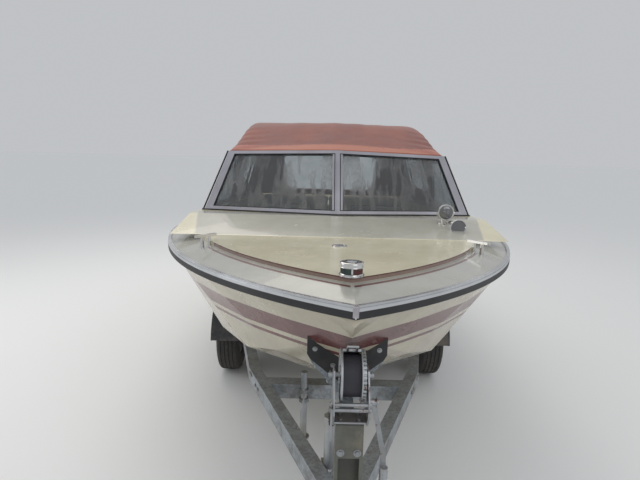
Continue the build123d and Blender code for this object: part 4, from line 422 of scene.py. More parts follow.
def deck_finish():
    """Gelcoat deck: grey sloping gunwale and coaming riser and mauve step face, all painted shade on the cream; two
    maroon lines along the step, warm flat deck with dried water marks.
    """
    f = Finish("deck_gelcoat", 0.25, 0.0, 0.35)
    t = f.tree
    above = maths(t, "SUBTRACT", f.z, f.sheer())
    grains = place_group(t, GRAIN, f.place, Scale=220.0, Wave=1.4)
    grime = place_group(t, GRIME, f.place, Scale=7.0, Low=0.9, High=1.5)
    warm = tint(t, grains["Tone"], (0.66, 0.605, 0.43), (0.76, 0.705, 0.52))
    # Painted shade: the cream gelcoat darkened to grey, as it looks in shade
    shade_grey = tint(t, grains["Tone"], (0.37, 0.365, 0.325), (0.44, 0.435, 0.39))
    # Painted shade on the sloping gunwale, below the flat deck's edge
    shade = tint(t, spread(t, above, DECK_EDGE - 0.0005, DECK_EDGE + 0.0005), shade_grey, warm)
    foredeck = spread(t, f.y, STEP_END - 0.01, STEP_END + 0.01, 1.0, 0.0)
    side = maths(t, "ABSOLUTE", f.x)
    inboard = spread(t, maths(t, "SUBTRACT", side, times(t, f.y, 0.20)), 0.985, 1.000, 1.0, 0.0)
    # Painted shade on the coaming's front riser, above its foot and ahead of the cockpit: mostly the grey shade colour
    riser = times(t, spread(t, above, RISER_FOOT - 0.001, RISER_FOOT + 0.001),
                  spread(t, f.y, BOW + 1.50, BOW + 1.62, 1.0, 0.0))
    shade = tint(t, times(t, times(t, riser, inboard), 0.85), shade, shade_grey)
    off_middle = spread(t, side, 0.005, 0.008)
    step = times(t, band(t, above, *STEP, 0.0003), foredeck)
    upper = times(t, band(t, above, *UPPER_LINE, 0.0003), foredeck)
    lower = times(t, times(t, band(t, above, *LOWER_LINE, 0.0002), foredeck), off_middle)
    # Painted shade on the step's face
    shade = tint(t, step, shade, SHADED_STEP_MAUVE)
    shade = tint(t, times(t, maths(t, "MAXIMUM", upper, lower), 0.92), shade, MAROON)
    marks = noise(t, stretched(t, f.place, (4.0, 14.0, 4.0)), 2.4, 6.0, 0.7)
    rims = band(t, marks, 0.535, 0.56, 0.008)
    shade = tint(t, times(t, rims, 0.10), shade, (0.42, 0.37, 0.27))
    dots = spread(t, cells(t, f.place, 26.0)["Distance"], 0.03, 0.06, 1.0, 0.0)
    shade = tint(t, times(t, dots, 0.5), shade, (0.22, 0.18, 0.12))
    shade = tint(t, times(t, grime["Mask"], 0.22), shade, (0.34, 0.30, 0.21))
    wet = spread(t, noise(t, f.place, 5.0, 5.0, 0.6), 0.35, 0.7, 0.0, 0.07)
    return f.surface(
        shade,
        maths(t, "ADD", wet, scaled(t, grime["Mask"], 0.08, 0.19)),
        grains["Height"], 0.0005, 0.3,
    )


def canvas_finish(name="canopy_canvas", colour=(0.185, 0.045, 0.032), lit=(0.27, 0.070, 0.045)):
    """Woven boat canvas: threads, sun-bleached crests, damp and dusty patches, soft sheen, and a painted glow of light
    through the cloth above the windshield.
    """
    f = Finish(name, 0.82)
    t = f.tree
    weave = place_group(t, WEAVE, f.uv, Threads=5200.0)
    grime = place_group(t, GRIME, f.place, Scale=4.0, Low=1.2, High=1.9)
    blotch = noise(t, f.place, 3.0, 6.0, 0.65)
    shade = mottled(t, blotch, colour, lit)
    bleach = spread(t, f.z, 1.62, 1.90, 0.0, 0.15)
    shade = tint(t, times(t, bleach, spread(t, blotch, 0.3, 0.75)), shade, (0.46, 0.19, 0.13))
    # Painted light: a coral glow, as of light shining through the cloth, on the front slope above the windshield, its
    # upper edge curved higher in the middle
    middle_off = times(t, f.x, f.x)
    brow = scaled(t, middle_off, 0.13, f.z)
    reach = scaled(t, middle_off, 0.35, f.y)
    painted_glow = times(t, band(t, brow, 1.640, 1.728, 0.008), spread(t, reach, 0.05, 0.08, 1.0, 0.0))
    shade = tint(t, painted_glow, shade, (0.47, 0.16, 0.095))
    thread = tint(t, weave["Shade"], (0.10, 0.022, 0.016), shade)
    dusty = tint(t, times(t, grime["Streaks"], 0.22), thread, (0.36, 0.24, 0.18))
    f.give("Sheen Weight", 0.25)
    f.give("Sheen Roughness", 0.5)
    return f.surface(dusty, uneven(t, blotch, 0.72, 0.9), weave["Height"], 0.0003, 0.6)


def glass_finish():
    """Windshield glass, lightly tinted, with dew drops and the clear runs between them."""
    f = Finish("dewy_glass", 0.03)
    t = f.tree
    f.give("Transmission Weight", 0.93)
    f.give("IOR", 1.45)
    dew = place_group(t, DEW, f.place)
    clear = tint(t, dew["Mist"], (0.60, 0.64, 0.66), (0.80, 0.82, 0.83))
    return f.surface(clear, scaled(t, dew["Mist"], 0.22, 0.02), dew["Drops"], 0.0012, 0.6)


def vinyl_window_finish():
    """Clear flexible vinyl: wavy, slightly milky."""
    f = Finish("clear_vinyl", 0.08)
    t = f.tree
    f.give("Transmission Weight", 0.95)
    f.give("IOR", 1.3)
    ripple = noise(t, stretched(t, f.place, (6, 3, 9)), 1.2, 3.0, 0.5)
    return f.surface(
        mottled(t, ripple, (0.78, 0.80, 0.80), (0.92, 0.93, 0.92)),
        uneven(t, ripple, 0.05, 0.22),
        ripple, 0.012, 0.8,
    )


def vinyl_finish(name, colour, lighter):
    """Grained upholstery vinyl with pores and rubbed crowns."""
    f = Finish(name, 0.5)
    t = f.tree
    grain = spread(t, cells(t, f.place, 520.0, "DISTANCE_TO_EDGE")["Distance"], 0.0, 0.16)
    blotch = noise(t, f.place, 7.0, 5.0, 0.6)
    shade = mottled(t, blotch, colour, lighter)
    shade = tint(t, grain, tuple(c * 0.7 for c in colour), shade)
    return f.surface(shade, uneven(t, blotch, 0.42, 0.6), grain, 0.0004, 0.6)


def galvanised_finish(name="galvanised", colour=(0.30, 0.33, 0.36), lighter=(0.46, 0.49, 0.52), rust=0.1):
    """Dulled zinc spangle with white bloom, road dirt and a few rust freckles."""
    f = Finish(name, 0.52, 0.72)
    t = f.tree
    flake = made(t, "SeparateColor", Color=cells(t, f.place, 95.0)["Color"]).outputs["Red"]
    grime = place_group(t, GRIME, f.place, Scale=8.0, Low=0.2, High=0.9)
    spots = place_group(t, RUST, f.place, Amount=rust)
    shade = tint(t, flake, colour, lighter)
    bloom = spread(t, noise(t, f.place, 18.0, 6.0, 0.7), 0.56, 0.72)
    shade = tint(t, times(t, bloom, 0.4), shade, (0.55, 0.57, 0.58))
    shade = tint(t, times(t, grime["Mask"], 0.65), shade, (0.20, 0.18, 0.15))
    shade = tint(t, spots["Mask"], shade, RUST_BROWN)
    level = scaled(t, flake, 0.14, 0.42)
    return f.surface(
        shade,
        scaled(t, grime["Mask"], 0.25, level),
        scaled(t, bloom, 0.6, noise(t, f.place, 240.0, 3.0)), 0.0004, 0.6,
    )


def tyre_finish():
    """Worn road rubber: brown-grey dust on the walls and in the tread, fine pitting."""
    f = Finish("tyre_rubber", 0.78)
    t = f.tree
    blotch = noise(t, f.place, 22.0, 6.0, 0.7)
    shade = mottled(t, blotch, (0.022, 0.022, 0.023), (0.055, 0.052, 0.050))
    shade = tint(t, spread(t, f.z, 0.0, 0.30, 0.4, 0.1), shade, (0.13, 0.115, 0.095))
    return f.surface(shade, uneven(t, blotch, 0.68, 0.9), noise(t, f.place, 380.0, 4.0), 0.0004, 0.7)


def webbing_finish():
    """Black webbing: ribs across the strap, with a worn shine."""
    f = Finish("black_webbing", 0.6)
    t = f.tree
    ribs = made(t, "TexWave", Vector=f.place, Scale=90.0)
    ribs.bands_direction = "X"
    blotch = noise(t, f.place, 30.0, 5.0, 0.6)
    shade = mottled(t, blotch, (0.017, 0.016, 0.024), (0.043, 0.041, 0.058))
    return f.surface(
        tint(t, ribs.outputs["Fac"], shade, (0.03, 0.03, 0.034)),
        uneven(t, blotch, 0.42, 0.7),
        ribs.outputs["Fac"], 0.0006, 0.7,
    )


def carpet_finish(name, colour, lighter):
    """Short pile: dense fibres and trodden patches."""
    f = Finish(name, 0.95)
    t = f.tree
    pile = noise(t, f.place, 900.0, 2.0, 0.7)
    patch = noise(t, f.place, 9.0, 5.0, 0.6)
    return f.surface(
        tint(t, scaled(t, pile, 0.6, times(t, patch, 0.4)), colour, lighter),
        uneven(t, patch, 0.85, 1.0),
        pile, 0.002, 0.9,
    )


def lamp_finish():
    """Tail lamp: red and amber lenses with fine upright ribs in a black housing."""
    f = Finish("tail_lamp_lens", 0.18, 0.0, 0.3)
    t = f.tree
    side = maths(t, "ABSOLUTE", f.x)
    ribs = scaled(t, maths(t, "SINE", times(t, f.x, 1300.0)), 0.5, 0.5)
    lens = tint(t, spread(t, side, AMBER_FROM - 0.001, AMBER_FROM + 0.001), (0.36, 0.018, 0.012), (0.62, 0.20, 0.02))
    front = spread(t, f.y, LENS_FACE - 0.0015, LENS_FACE + 0.0015)
    return f.surface(
        tint(t, front, (0.02, 0.02, 0.02), lens),
        uneven(t, noise(t, f.place, 60.0, 4.0), 0.12, 0.3),
        times(t, ribs, front), 0.0008, 0.5,
    )


def rail_finish():
    """Rub rail: black rubber whose upper edge holds a bright moulding."""
    f = Finish("rub_rail_rubber", 0.5)
    t = f.tree
    below = maths(t, "SUBTRACT", f.sheer(), f.z)
    grains = place_group(t, GRAIN, f.place, Scale=320.0)
    grime = place_group(t, GRIME, f.place, Low=0.4, High=1.2)
    rubber = tint(t, grains["Tone"], (0.016, 0.016, 0.018), (0.034, 0.034, 0.036))
    metal = tint(t, grains["Tone"], (0.58, 0.59, 0.61), (0.68, 0.69, 0.71))
    bright = spread(t, below, MOULDING - 0.0005, MOULDING + 0.0005, 1.0, 0.0)
    shade = tint(t, bright, rubber, metal)
    f.give("Metallic", bright)
    return f.surface(
        tint(t, times(t, grime["Mask"], 0.25), shade, (0.14, 0.13, 0.115)),
        scaled(t, bright, -0.25, 0.55),
        grains["Height"], 0.0004,
    )


FINISHES = {
    "rub_rail": rail_finish(),
    "hull_gelcoat": hull_finish(),
    "deck_gelcoat": deck_finish(),
    "canvas": canvas_finish(),
    "canvas_trim": canvas_finish("canvas_trim", (0.34, 0.085, 0.05), (0.52, 0.17, 0.10)),
    "dewy_glass": glass_finish(),
    "clear_vinyl": vinyl_window_finish(),
    "seat_vinyl": vinyl_finish("seat_vinyl", (0.44, 0.40, 0.31), (0.58, 0.53, 0.43)),
    "piping_vinyl": vinyl_finish("piping_vinyl", (0.17, 0.035, 0.03), (0.24, 0.06, 0.05)),
    "dash_vinyl": vinyl_finish("dash_vinyl", (0.045, 0.030, 0.024), (0.085, 0.060, 0.048)),
    "galvanised": galvanised_finish(),
    "galvanised_dark": galvanised_finish("galvanised_dark", (0.19, 0.215, 0.24), (0.33, 0.36, 0.39), 0.22),
    "tyre_rubber": tyre_finish(),
    "black_webbing": webbing_finish(),
    "bunk_carpet": carpet_finish("bunk_carpet", (0.035, 0.035, 0.04), (0.10, 0.10, 0.11)),
    "floor_carpet": carpet_finish("floor_carpet", (0.09, 0.035, 0.03), (0.17, 0.075, 0.06)),
    "tail_lamp": lamp_finish(),
}
# Plain finishes. Columns: colour, roughness, metallic, coat, grain scale, grain depth, dirt, the heights between
# which the dirt thins out, rust, unevenness of tone and, where it isn't dust, the colour of the dirt
PLAIN = {
    "black_rubber": ((0.026, 0.026, 0.028), 0.55, 0.0, 0.0, 320.0, 0.0005, 0.35, 0.2, 1.2, 0.0, 0.3, SOOT),
    "bright_strip": ((0.62, 0.63, 0.65), 0.26, 1.0, 0.0, 500.0, 0.0002, 0.4, 0.2, 1.2, 0.0, 0.1),
    "anodised": ((0.50, 0.49, 0.54), 0.34, 0.9, 0.0, 700.0, 0.0001, 0.25, 1.2, 1.8, 0.0, 0.06),
    "chrome": ((0.72, 0.71, 0.70), 0.10, 1.0, 0.0, 300.0, 0.0001, 0.25, 0.9, 1.6, 0.04, 0.05),
    "black_plastic": ((0.022, 0.022, 0.024), 0.42, 0.0, 0.0, 600.0, 0.0002, 0.3, 0.2, 1.2, 0.0, 0.2),
    "guard_plastic": ((0.040, 0.042, 0.048), 0.55, 0.0, 0.0, 500.0, 0.0003, 0.35, 0.25, 0.75, 0.0, 0.2),
    "engine_paint": ((0.05, 0.055, 0.06), 0.4, 0.2, 0.0, 300.0, 0.0004, 0.5, 0.2, 1.2, 0.15, 0.12),
    "drive_paint": ((0.21, 0.22, 0.235), 0.36, 0.1, 0.2, 420.0, 0.0003, 0.5, 0.1, 1.0, 0.05, 0.12),
    "cast_alloy": ((0.50, 0.51, 0.52), 0.36, 1.0, 0.0, 500.0, 0.0003, 0.45, 0.2, 1.2, 0.0, 0.12),
    "winch_grey": ((0.150, 0.152, 0.130), 0.45, 0.3, 0.0, 260.0, 0.0004, 0.55, 0.4, 0.9, 0.07, 0.2),
    "zinc": ((0.40, 0.415, 0.43), 0.38, 0.9, 0.0, 420.0, 0.0003, 0.5, 0.2, 1.1, 0.05, 0.18),
    "rim_paint": ((0.46, 0.465, 0.48), 0.35, 0.5, 0.15, 380.0, 0.0004, 0.7, 0.05, 0.6, 0.08, 0.1),
    "inner_gelcoat": ((0.50, 0.47, 0.38), 0.35, 0.0, 0.0, 150.0, 0.0008, 0.4, 0.6, 1.2, 0.0, 0.12),
    "brass": ((0.42, 0.28, 0.10), 0.32, 1.0, 0.0, 500.0, 0.0001, 0.4, 0.2, 1.2, 0.0, 0.15),
    "lens_red": ((0.10, 0.030, 0.028), 0.16, 0.0, 0.0, 90.0, 0.0004, 0.15, 0.2, 1.2, 0.0, 0.12),
    "lens_green": ((0.030, 0.055, 0.043), 0.16, 0.0, 0.0, 90.0, 0.0004, 0.15, 0.2, 1.2, 0.0, 0.12),
    "lens_dark": ((0.24, 0.245, 0.25), 0.10, 0.75, 0.0, 260.0, 0.0002, 0.2, 0.2, 1.2, 0.0, 0.12),
    "black_paint": ((0.012, 0.012, 0.013), 0.6, 0.0, 0.0, 400.0, 0.0004, 0.2, 0.2, 1.2, 0.0, 0.12),
    "lens_clear": ((0.62, 0.64, 0.66), 0.08, 0.55, 0.0, 120.0, 0.0004, 0.15, 0.2, 1.2, 0.0, 0.12),
}
for name, values in PLAIN.items():
    FINISHES[name] = plain_finish(name, *values)


def wear(node, finish):
    solid = bpy.data.objects[node]
    solid.data.materials.clear()
    solid.data.materials.append(FINISHES[finish])


# The solids that wear each finish
WEARERS = {
    "hull_gelcoat": "hull",
    "deck_gelcoat": "deck",
    "rub_rail": "rub_rail",
    "bright_strip": "rail_strip canopy_hoops",
    "anodised": "windshield_frame",
    "dewy_glass": "windshield_glass",
    "clear_vinyl": "canopy_windows",
    "chrome": "bow_light deck_plate cleats searchlight horn hull_eyes",
    "dash_vinyl": "dash",
    "black_plastic": "steering_wheel throttle",
    "inner_gelcoat": "seat_bases engine_box",
    "engine_paint": "engine",
    "drive_paint": "transom_shield drive_yoke drive_leg",
    "cast_alloy": "propeller",
    "galvanised": "drawbar side_rails cross_members",
    "galvanised_dark": "coupling bow_chock axles trailer_brackets",
    "winch_grey": "winch_post",
    "zinc": "winch_frame winch_drum strap_hook winch_crank steady_leg jockey_clamp jockey_inner jockey_fork",
    "black_webbing": "winch_strap",
    "black_rubber": "chock_pads keel_rollers",
    "bunk_carpet": "bunks",
    "guard_plastic": "mudguards",
    "tail_lamp": "tail_lamps",
    "tyre_rubber": "jockey_wheel",
    "canvas": "canopy",
    "seat_vinyl": "front_seats rear_bench engine_lid",
}
CORNERS = ("front_right", "front_left", "rear_right", "rear_left")
for finish, nodes in WEARERS.items():
    for node in nodes.split():
        wear(node, finish)
for corner in CORNERS:
    wear("tyre_" + corner, "tyre_rubber")
    wear("rim_" + corner, "rim_paint")

# ---------------------------------------------------------------- bench tools
HULL = "boat_and_trailer"
UP = (0, 0, 1)
ACROSS = (1, 0, 0)
AFT = (0, 1, 0)
SIDES = (-1, 1)


def off(base, x=0.0, y=0.0, z=0.0):
    """A place beside another."""
    return Vector(base) + Vector((x, y, z))


def solo(obj):
    bpy.ops.object.select_all(action="DESELECT")
    obj.select_set(True)
    bpy.context.view_layer.objects.active = obj


def settle(obj, name):
    """Put a new piece's place, turn and size into its mesh."""
    solo(obj)
    bpy.ops.object.transform_apply(location=True, rotation=True, scale=True)
    obj.name = name
    return obj


def block(centre, size, turn=(0, 0, 0), name="block"):
    bpy.ops.mesh.primitive_cube_add(size=1, location=centre, rotation=turn)
    obj = bpy.context.object
    obj.scale = size
    return settle(obj, name)


def rod(start, end, radius, sides=24, name="rod", top=None):
    """Round bar, or a cone when the top radius differs."""
    start, end = Vector(start), Vector(end)
    bpy.ops.mesh.primitive_cone_add(
        vertices=sides, radius1=radius, radius2=radius if top is None else top, depth=(end - start).length,
        location=(start + end) / 2, rotation=(end - start).to_track_quat("Z", "Y").to_euler(),
    )
    return settle(bpy.context.object, name)


def ring(centre, axis, major, minor, parts=(40, 10), name="ring"):
    bpy.ops.mesh.primitive_torus_add(
        location=centre, rotation=Vector(axis).to_track_quat("Z", "Y").to_euler(), major_radius=major,
        minor_radius=minor, major_segments=parts[0], minor_segments=parts[1],
    )
    return settle(bpy.context.object, name)


def ball(centre, radius, stretch=(1, 1, 1), parts=(20, 12), name="ball"):
    bpy.ops.mesh.primitive_uv_sphere_add(segments=parts[0], ring_count=parts[1], radius=radius, location=centre)
    obj = bpy.context.object
    obj.scale = stretch
    return settle(obj, name)


def fit(obj, kind, **values):
    """Add a modifier with its values and apply it."""
    solo(obj)
    tool = obj.modifiers.new(kind.lower(), kind)
    for name, value in values.items():
        setattr(tool, name, value)
    bpy.ops.object.modifier_apply(modifier=tool.name)
    return obj


def soften(obj, width, steps=2, angle=30):
    return fit(obj, "BEVEL", width=width, segments=steps, limit_method="ANGLE", angle_limit=math.radians(angle))


def cut_with(obj, cutter):
    fit(obj, "BOOLEAN", object=cutter, operation="DIFFERENCE", solver="EXACT")
    bpy.data.objects.remove(cutter)


def pick(obj, test, kind="FACE"):
    """Open a piece in edit mode with only the faces or edges that pass the test selected."""
    solo(obj)
    bpy.ops.object.mode_set(mode="EDIT")
    bpy.ops.mesh.select_mode(type=kind)
    bpy.ops.mesh.select_all(action="DESELECT")
    mesh = bmesh.from_edit_mesh(obj.data)
    for part in mesh.faces if kind == "FACE" else mesh.edges:
        if test(part):
            part.select_set(True)
    bmesh.update_edit_mesh(obj.data)


def leave():
    bpy.ops.object.mode_set(mode="OBJECT")


def shed(obj, test):
    """Delete the faces that pass the test."""
    pick(obj, test)
    bpy.ops.mesh.delete(type="FACE")
    leave()


def round_edges(obj, test, offset, segments):
    """Bevel the edges that pass the test."""
    pick(obj, test, "EDGE")
    bpy.ops.mesh.bevel(offset=offset, segments=segments, affect="EDGES")
    leave()


def divided(obj, cuts):
    solo(obj)
    bpy.ops.object.mode_set(mode="EDIT")
    bpy.ops.mesh.select_all(action="SELECT")
    bpy.ops.mesh.subdivide(number_cuts=cuts)
    leave()
    return obj


def outlined(name, corners, filled):
    """New piece, left open in edit mode with all of it selected: one polygon, or a closed line of edges."""
    bpy.ops.mesh.primitive_plane_add(size=1)
    obj = settle(bpy.context.object, name)
    bpy.ops.object.mode_set(mode="EDIT")
    bpy.ops.mesh.delete(type="VERT")
    mesh = bmesh.from_edit_mesh(obj.data)
    spots = [mesh.verts.new(corner) for corner in corners]
    if filled:
        mesh.faces.new(spots)
    else:
        for first, second in zip(spots, spots[1:] + spots[:1]):
            mesh.edges.new((first, second))
    bmesh.update_edit_mesh(obj.data)
    bpy.ops.mesh.select_all(action="SELECT")
    return obj


def middle(edge):
    return (edge.verts[0].co + edge.verts[1].co) / 2


def lift_out(obj, test, kind, name):
    """Copy the selected part of a piece into a piece of its own."""
    pick(obj, test, kind)
    bpy.ops.mesh.duplicate()
    bpy.ops.mesh.separate(type="SELECTED")
    leave()
    part = [o for o in bpy.context.selected_objects if o != obj][0]
    part.name = name
    return part


def corded(obj, radius):
    """Turn a piece made of loose edges into a round cord along them."""
    solo(obj)
    bpy.ops.object.convert(target="CURVE")
    obj.data.bevel_depth = radius
    obj.data.bevel_resolution = 2
    obj.data.use_fill_caps = True
    bpy.ops.object.convert(target="MESH")


def tube(points, radius, name="tube", smooth=False, cyclic=False):
    """Round tube along points."""
    line = bpy.data.curves.new(name, "CURVE")
    line.dimensions = "3D"
    line.bevel_depth = radius
    line.bevel_resolution = 3
    line.use_fill_caps = True
    spline = line.splines.new("NURBS" if smooth else "POLY")
    spline.points.add(len(points) - 1)
    for point, place in zip(spline.points, points):
        point.co = (*place, 1)
    if smooth:
        spline.order_u = 3
        spline.use_endpoint_u = True
    spline.use_cyclic_u = cyclic
    obj = bpy.data.objects.new(name, line)
    bpy.context.collection.objects.link(obj)
    solo(obj)
    bpy.ops.object.convert(target="MESH")
    return bpy.context.object


def joined(name, parts):
    """Join pieces into one mesh."""
    solo(parts[0])
    for part in parts:
        part.select_set(True)
    bpy.ops.object.join()
    parts[0].name = name
    return parts[0]


def twinned(obj):
    """Add the mirror twin on the other side of the middle to the same mesh."""
    return fit(obj, "MIRROR", use_axis=(True, False, False), use_clip=False, use_mirror_merge=False)


def done(obj, finish, body=HULL, smooth=35):
    """Give a finished piece its shading, finish, material slot and body."""
    solo(obj)
    bpy.ops.object.shade_smooth_by_angle(angle=math.radians(smooth))
    obj.data.materials.clear()
    obj.data.materials.append(FINISHES[finish])
    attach(obj, body)
    return obj


def grouped(name, parts, finish, body=HULL, smooth=35):
    """Join pieces and finish them as one."""
    return done(joined(name, parts), finish, body, smooth)


def hexagon(radius, tall, centre):
    """Hexagon head with chamfer, on its washer."""
    bpy.ops.mesh.primitive_cylinder_add(
        vertices=6, radius=radius, depth=radius * tall, location=(0, 0, radius * centre))
    head = settle(bpy.context.object, "head")
    soften(head, radius * 0.12, 1, 50)
    return joined("head", [head, rod((0, 0, -radius * 0.05), (0, 0, radius * 0.14), radius * 1.5, 16)])


def dome(radius):
    """Domed screw head with a slit."""
    head = ball((0, 0, 0), radius, (1, 1, 0.45), (12, 8))
    shed(head, lambda face: face.calc_center_median().z < -0.0001)
    cut_with(head, block((0, 0, radius * 0.42), (radius * 1.4, radius * 0.24, radius * 0.3)))
    return head


def scattered(name, one, turns, finish, body=HULL):
    """One piece made of a copy of another at each turn."""
    copies = []
    for turn in turns:
        copy = one.copy()
        copy.data = one.data.copy()
        bpy.context.collection.objects.link(copy)
        copy.data.transform(turn)
        copies.append(copy)
    bpy.data.objects.remove(one)
    return grouped(name, copies, finish, body)


QUARTER = math.pi / 2
BOLT_TURN = {
    "x": Matrix.Rotation(QUARTER, 4, "Y"), "-x": Matrix.Rotation(-QUARTER, 4, "Y"),
    "-y": Matrix.Rotation(QUARTER, 4, "X"), "z": Matrix.Identity(4),
}


def bolts(name, places, radius):
    """Hexagon heads. Places: x, y, z of the seat and the way the head points."""
    turns = [Matrix.Translation(place[:3]) @ BOLT_TURN[place[3]] for place in places]
    return scattered(name, hexagon(radius, 0.6, 0.3), turns, "zinc")


# ---------------------------------------------------------------- canopy
CANOPY_MIDDLE = Vector((0, 0.42, 1.25))
SCREEN_CROWN = Vector((0, -0.633, 1.690))
SCREEN_CORNER = Vector((0.700, -0.498, 1.6649))
# Planes of the skin: the way each faces and a point of it. Roof, back and the two sides
CANOPY_FACES = tuple((Vector(way).normalized(), Vector(point)) for way, point in (
    ((0, 0.0119, 1), (0, -0.075, 1.908)), ((0, 0.656, 0.605), (0, 0.935, 1.896)),
    ((0.387, 0, 0.121), (0.837, 0, 1.281)), ((-0.387, 0, 0.121), (-0.837, 0, 1.281)),
))
FRONT_RISE = 0.3907
SIDE_FALL = (SCREEN_CORNER.z - 1.684 - FRONT_RISE * (SCREEN_CORNER.y + 0.643)) / SCREEN_CORNER.x
FRONT_FACES = tuple(
    (Vector((-side * SIDE_FALL, -FRONT_RISE, 1)).normalized(), SCREEN_CROWN) for side in (1, -1)
)
HOOPS = (0.285, 0.885)
CORNER_POWER = 34
CANOPY_HEM = (
    (-3.0, 3.0), (-0.640, 3.0), (-0.640, 1.691), (-0.498, 1.676), (-0.1285, 1.650), (0.211, 1.2845),
    (3.0, 1.2045), (3.0, -2.0), (-3.0, -2.0),
)
# Windows of the canopy: middle along the panel and up, half width, half height
REAR_WINDOW = (0.0, 1.48, 0.465, 0.18)
SIDE_WINDOW = (0.585, 1.53, 0.31, 0.15)


def canopy_reach(way):
    """Distance from the canopy's middle to its skin along a way, with the corners rounded."""
    def to_face(face):
        normal, point = face
        lean = normal.dot(way)
        return (point - CANOPY_MIDDLE).dot(normal) / lean if lean > 1e-4 else 1e4
    reaches = [to_face(face) for face in CANOPY_FACES] + [min(to_face(face) for face in FRONT_FACES)]
    return sum(reach ** -CORNER_POWER for reach in reaches) ** (-1 / CORNER_POWER)


def canopy_cutter():
    """Solid of all that lies under the hem and ahead of it."""
    cutter = outlined("hem_cutter", [(-3.1, y, z) for y, z in CANOPY_HEM], True)
    bpy.ops.mesh.extrude_region_move(TRANSFORM_OT_translate={"value": (6.2, 0, 0)})
    bpy.ops.mesh.select_all(action="SELECT")
    bpy.ops.mesh.normals_make_consistent(inside=False)
    leave()
    return cutter


def window_box(window, depth, axis):
    """Box with four rounded corners along an axis, for cutting a window."""
    along, up, wide, tall = window
    if axis == 0:
        box = block((0, along, up), (depth, 2 * wide, 2 * tall), name="window_cutter")
    else:
        box = block((along, 1.54, up), (2 * wide, depth, 2 * tall), name="window_cutter")
    round_edges(box, lambda edge: abs((edge.verts[0].co - edge.verts[1].co).normalized()[axis]) > 0.9, 0.06, 5)
    return box


def on_skin(point):
    way = point - CANOPY_MIDDLE
    return way.length / canopy_reach(way.normalized()) > 0.985


def near_window(point):
    """1 at a window's edge or inside it, falling to 0 a hand's breadth away."""
    def outside(place, window):
        along, up, wide, tall = window
        return max(0.0, abs(place - along) - wide, abs(point.z - up) - tall)
    back = max(outside(point.x, REAR_WINDOW), 0 if point.y > 1.0 else 1)
    side = max(outside(point.y, SIDE_WINDOW), 0 if abs(point.x) > 0.6 else 1)
    return max(0.0, 1 - min(back, side) / 0.09)


def slack(point):
    """How far the cloth stands off the plain skin: sag between the hoops, folds, puckers at the corners."""
    hem_height = 1.29 if point.y > 0.1 else 1.655
    hem = min(1.0, max(0.0, (point.z - hem_height) / 0.08))
    span = min(abs(point.y - held) for held in HOOPS + (-0.075, 1.4))
    folds = field.noise(Vector((point.x * 9, point.y * 3.2, point.z * 2.2))) * 0.0045
    folds += field.noise(point * 16) * 0.0014
    corner = math.exp(-((abs(point.x) - 0.66) ** 2 + (point.z - 1.70) ** 2) / 0.02)
    folds += corner * 0.004 * math.sin(point.y * 55 + point.z * 30)
    sag = -0.007 * min(1.0, span / 0.22)
    return (sag + folds - 0.002) * (1 - near_window(point)) * hem


def make_canopy():
    skin = divided(block((0, 0.42, 1.45), (1.6, 2.2, 0.9), name="canopy_cloth"), 63)
    for vertex in skin.data.vertices:
        way = (vertex.co - CANOPY_MIDDLE).normalized()
        vertex.co = CANOPY_MIDDLE + way * min(canopy_reach(way), 1.9)
    cut_with(skin, canopy_cutter())
    cut_with(skin, window_box(REAR_WINDOW, 1.5, 1))
    cut_with(skin, window_box(SIDE_WINDOW, 2.2, 0))
    shed(skin, lambda face: not on_skin(face.calc_center_median()))
    for vertex in skin.data.vertices:
        point = vertex.co.copy()
        vertex.co = point + (point - CANOPY_MIDDLE).normalized() * slack(point)
    return skin


def on_flap(face):
    """Whether a face lies on the strip that laps over the windshield's top rail."""
    place = face.calc_center_median()
    side = abs(place.x)
    return place.y < min(-0.30, -0.50 + side * 0.19) and place.z < 1.712 - side * 0.008


def trim_edge(edge, of_window):
    return edge.is_boundary and (near_window(middle(edge)) > 0.95) == of_window


# Hem, binding and flap are lifted from the plain skin before it gets its thickness
cloth = make_canopy()
cloth_hem = lift_out(cloth, lambda edge: trim_edge(edge, False), "EDGE", "canopy_hem")
window_binding = lift_out(cloth, lambda edge: trim_edge(edge, True), "EDGE", "window_binding")
front_flap = lift_out(cloth, on_flap, "FACE", "front_flap")
corded(cloth_hem, 0.007)
corded(window_binding, 0.006)
fit(front_flap, "SOLIDIFY", thickness=0.003, offset=2.2)
fit(cloth, "SOLIDIFY", thickness=0.002, offset=-1)
done(cloth, "canvas", smooth=60)
for part in (cloth_hem, window_binding, front_flap):
    done(part, "canvas_trim", smooth=60)
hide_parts("canopy")


def hoop_seam(y):
    """Points of the doubled seam over a hoop, without those that a side window would cut."""
    points = []
    for step in range(41):
        lean = math.radians(-76 + 152 * step / 40)
        reach = canopy_reach(Vector((math.sin(lean), y - CANOPY_MIDDLE.y, math.cos(lean))).normalized())
        for _ in range(4):
            aim = Vector((math.sin(lean), (y - CANOPY_MIDDLE.y) / reach, math.cos(lean)))
            reach = canopy_reach(aim.normalized()) / aim.length
        spot = CANOPY_MIDDLE + aim.normalized() * (canopy_reach(aim.normalized()) - 0.0015)
        if spot.z > 1.71 or abs(y - SIDE_WINDOW[0]) > 0.34:
            points.append(spot)
    return points


grouped("canopy_seams", [tube(hoop_seam(y), 0.0035, "canopy_seam") for y in HOOPS], "canvas_trim", smooth=60)

# ---------------------------------------------------------------- hull, deck and rub rail fittings
NODE = {node.name: node for node in bpy.data.objects if "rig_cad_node" in node}


def seated(node, start, way):
    """Point where a ray from start first meets a CAD node, and the way its surface faces."""
    hit, spot, normal, _ = NODE[node].ray_cast(Vector(start), Vector(way).normalized())
    if not hit:
        raise ValueError(f"nothing of {node} lies from {tuple(start)} along {tuple(way)}")
    return spot, normal


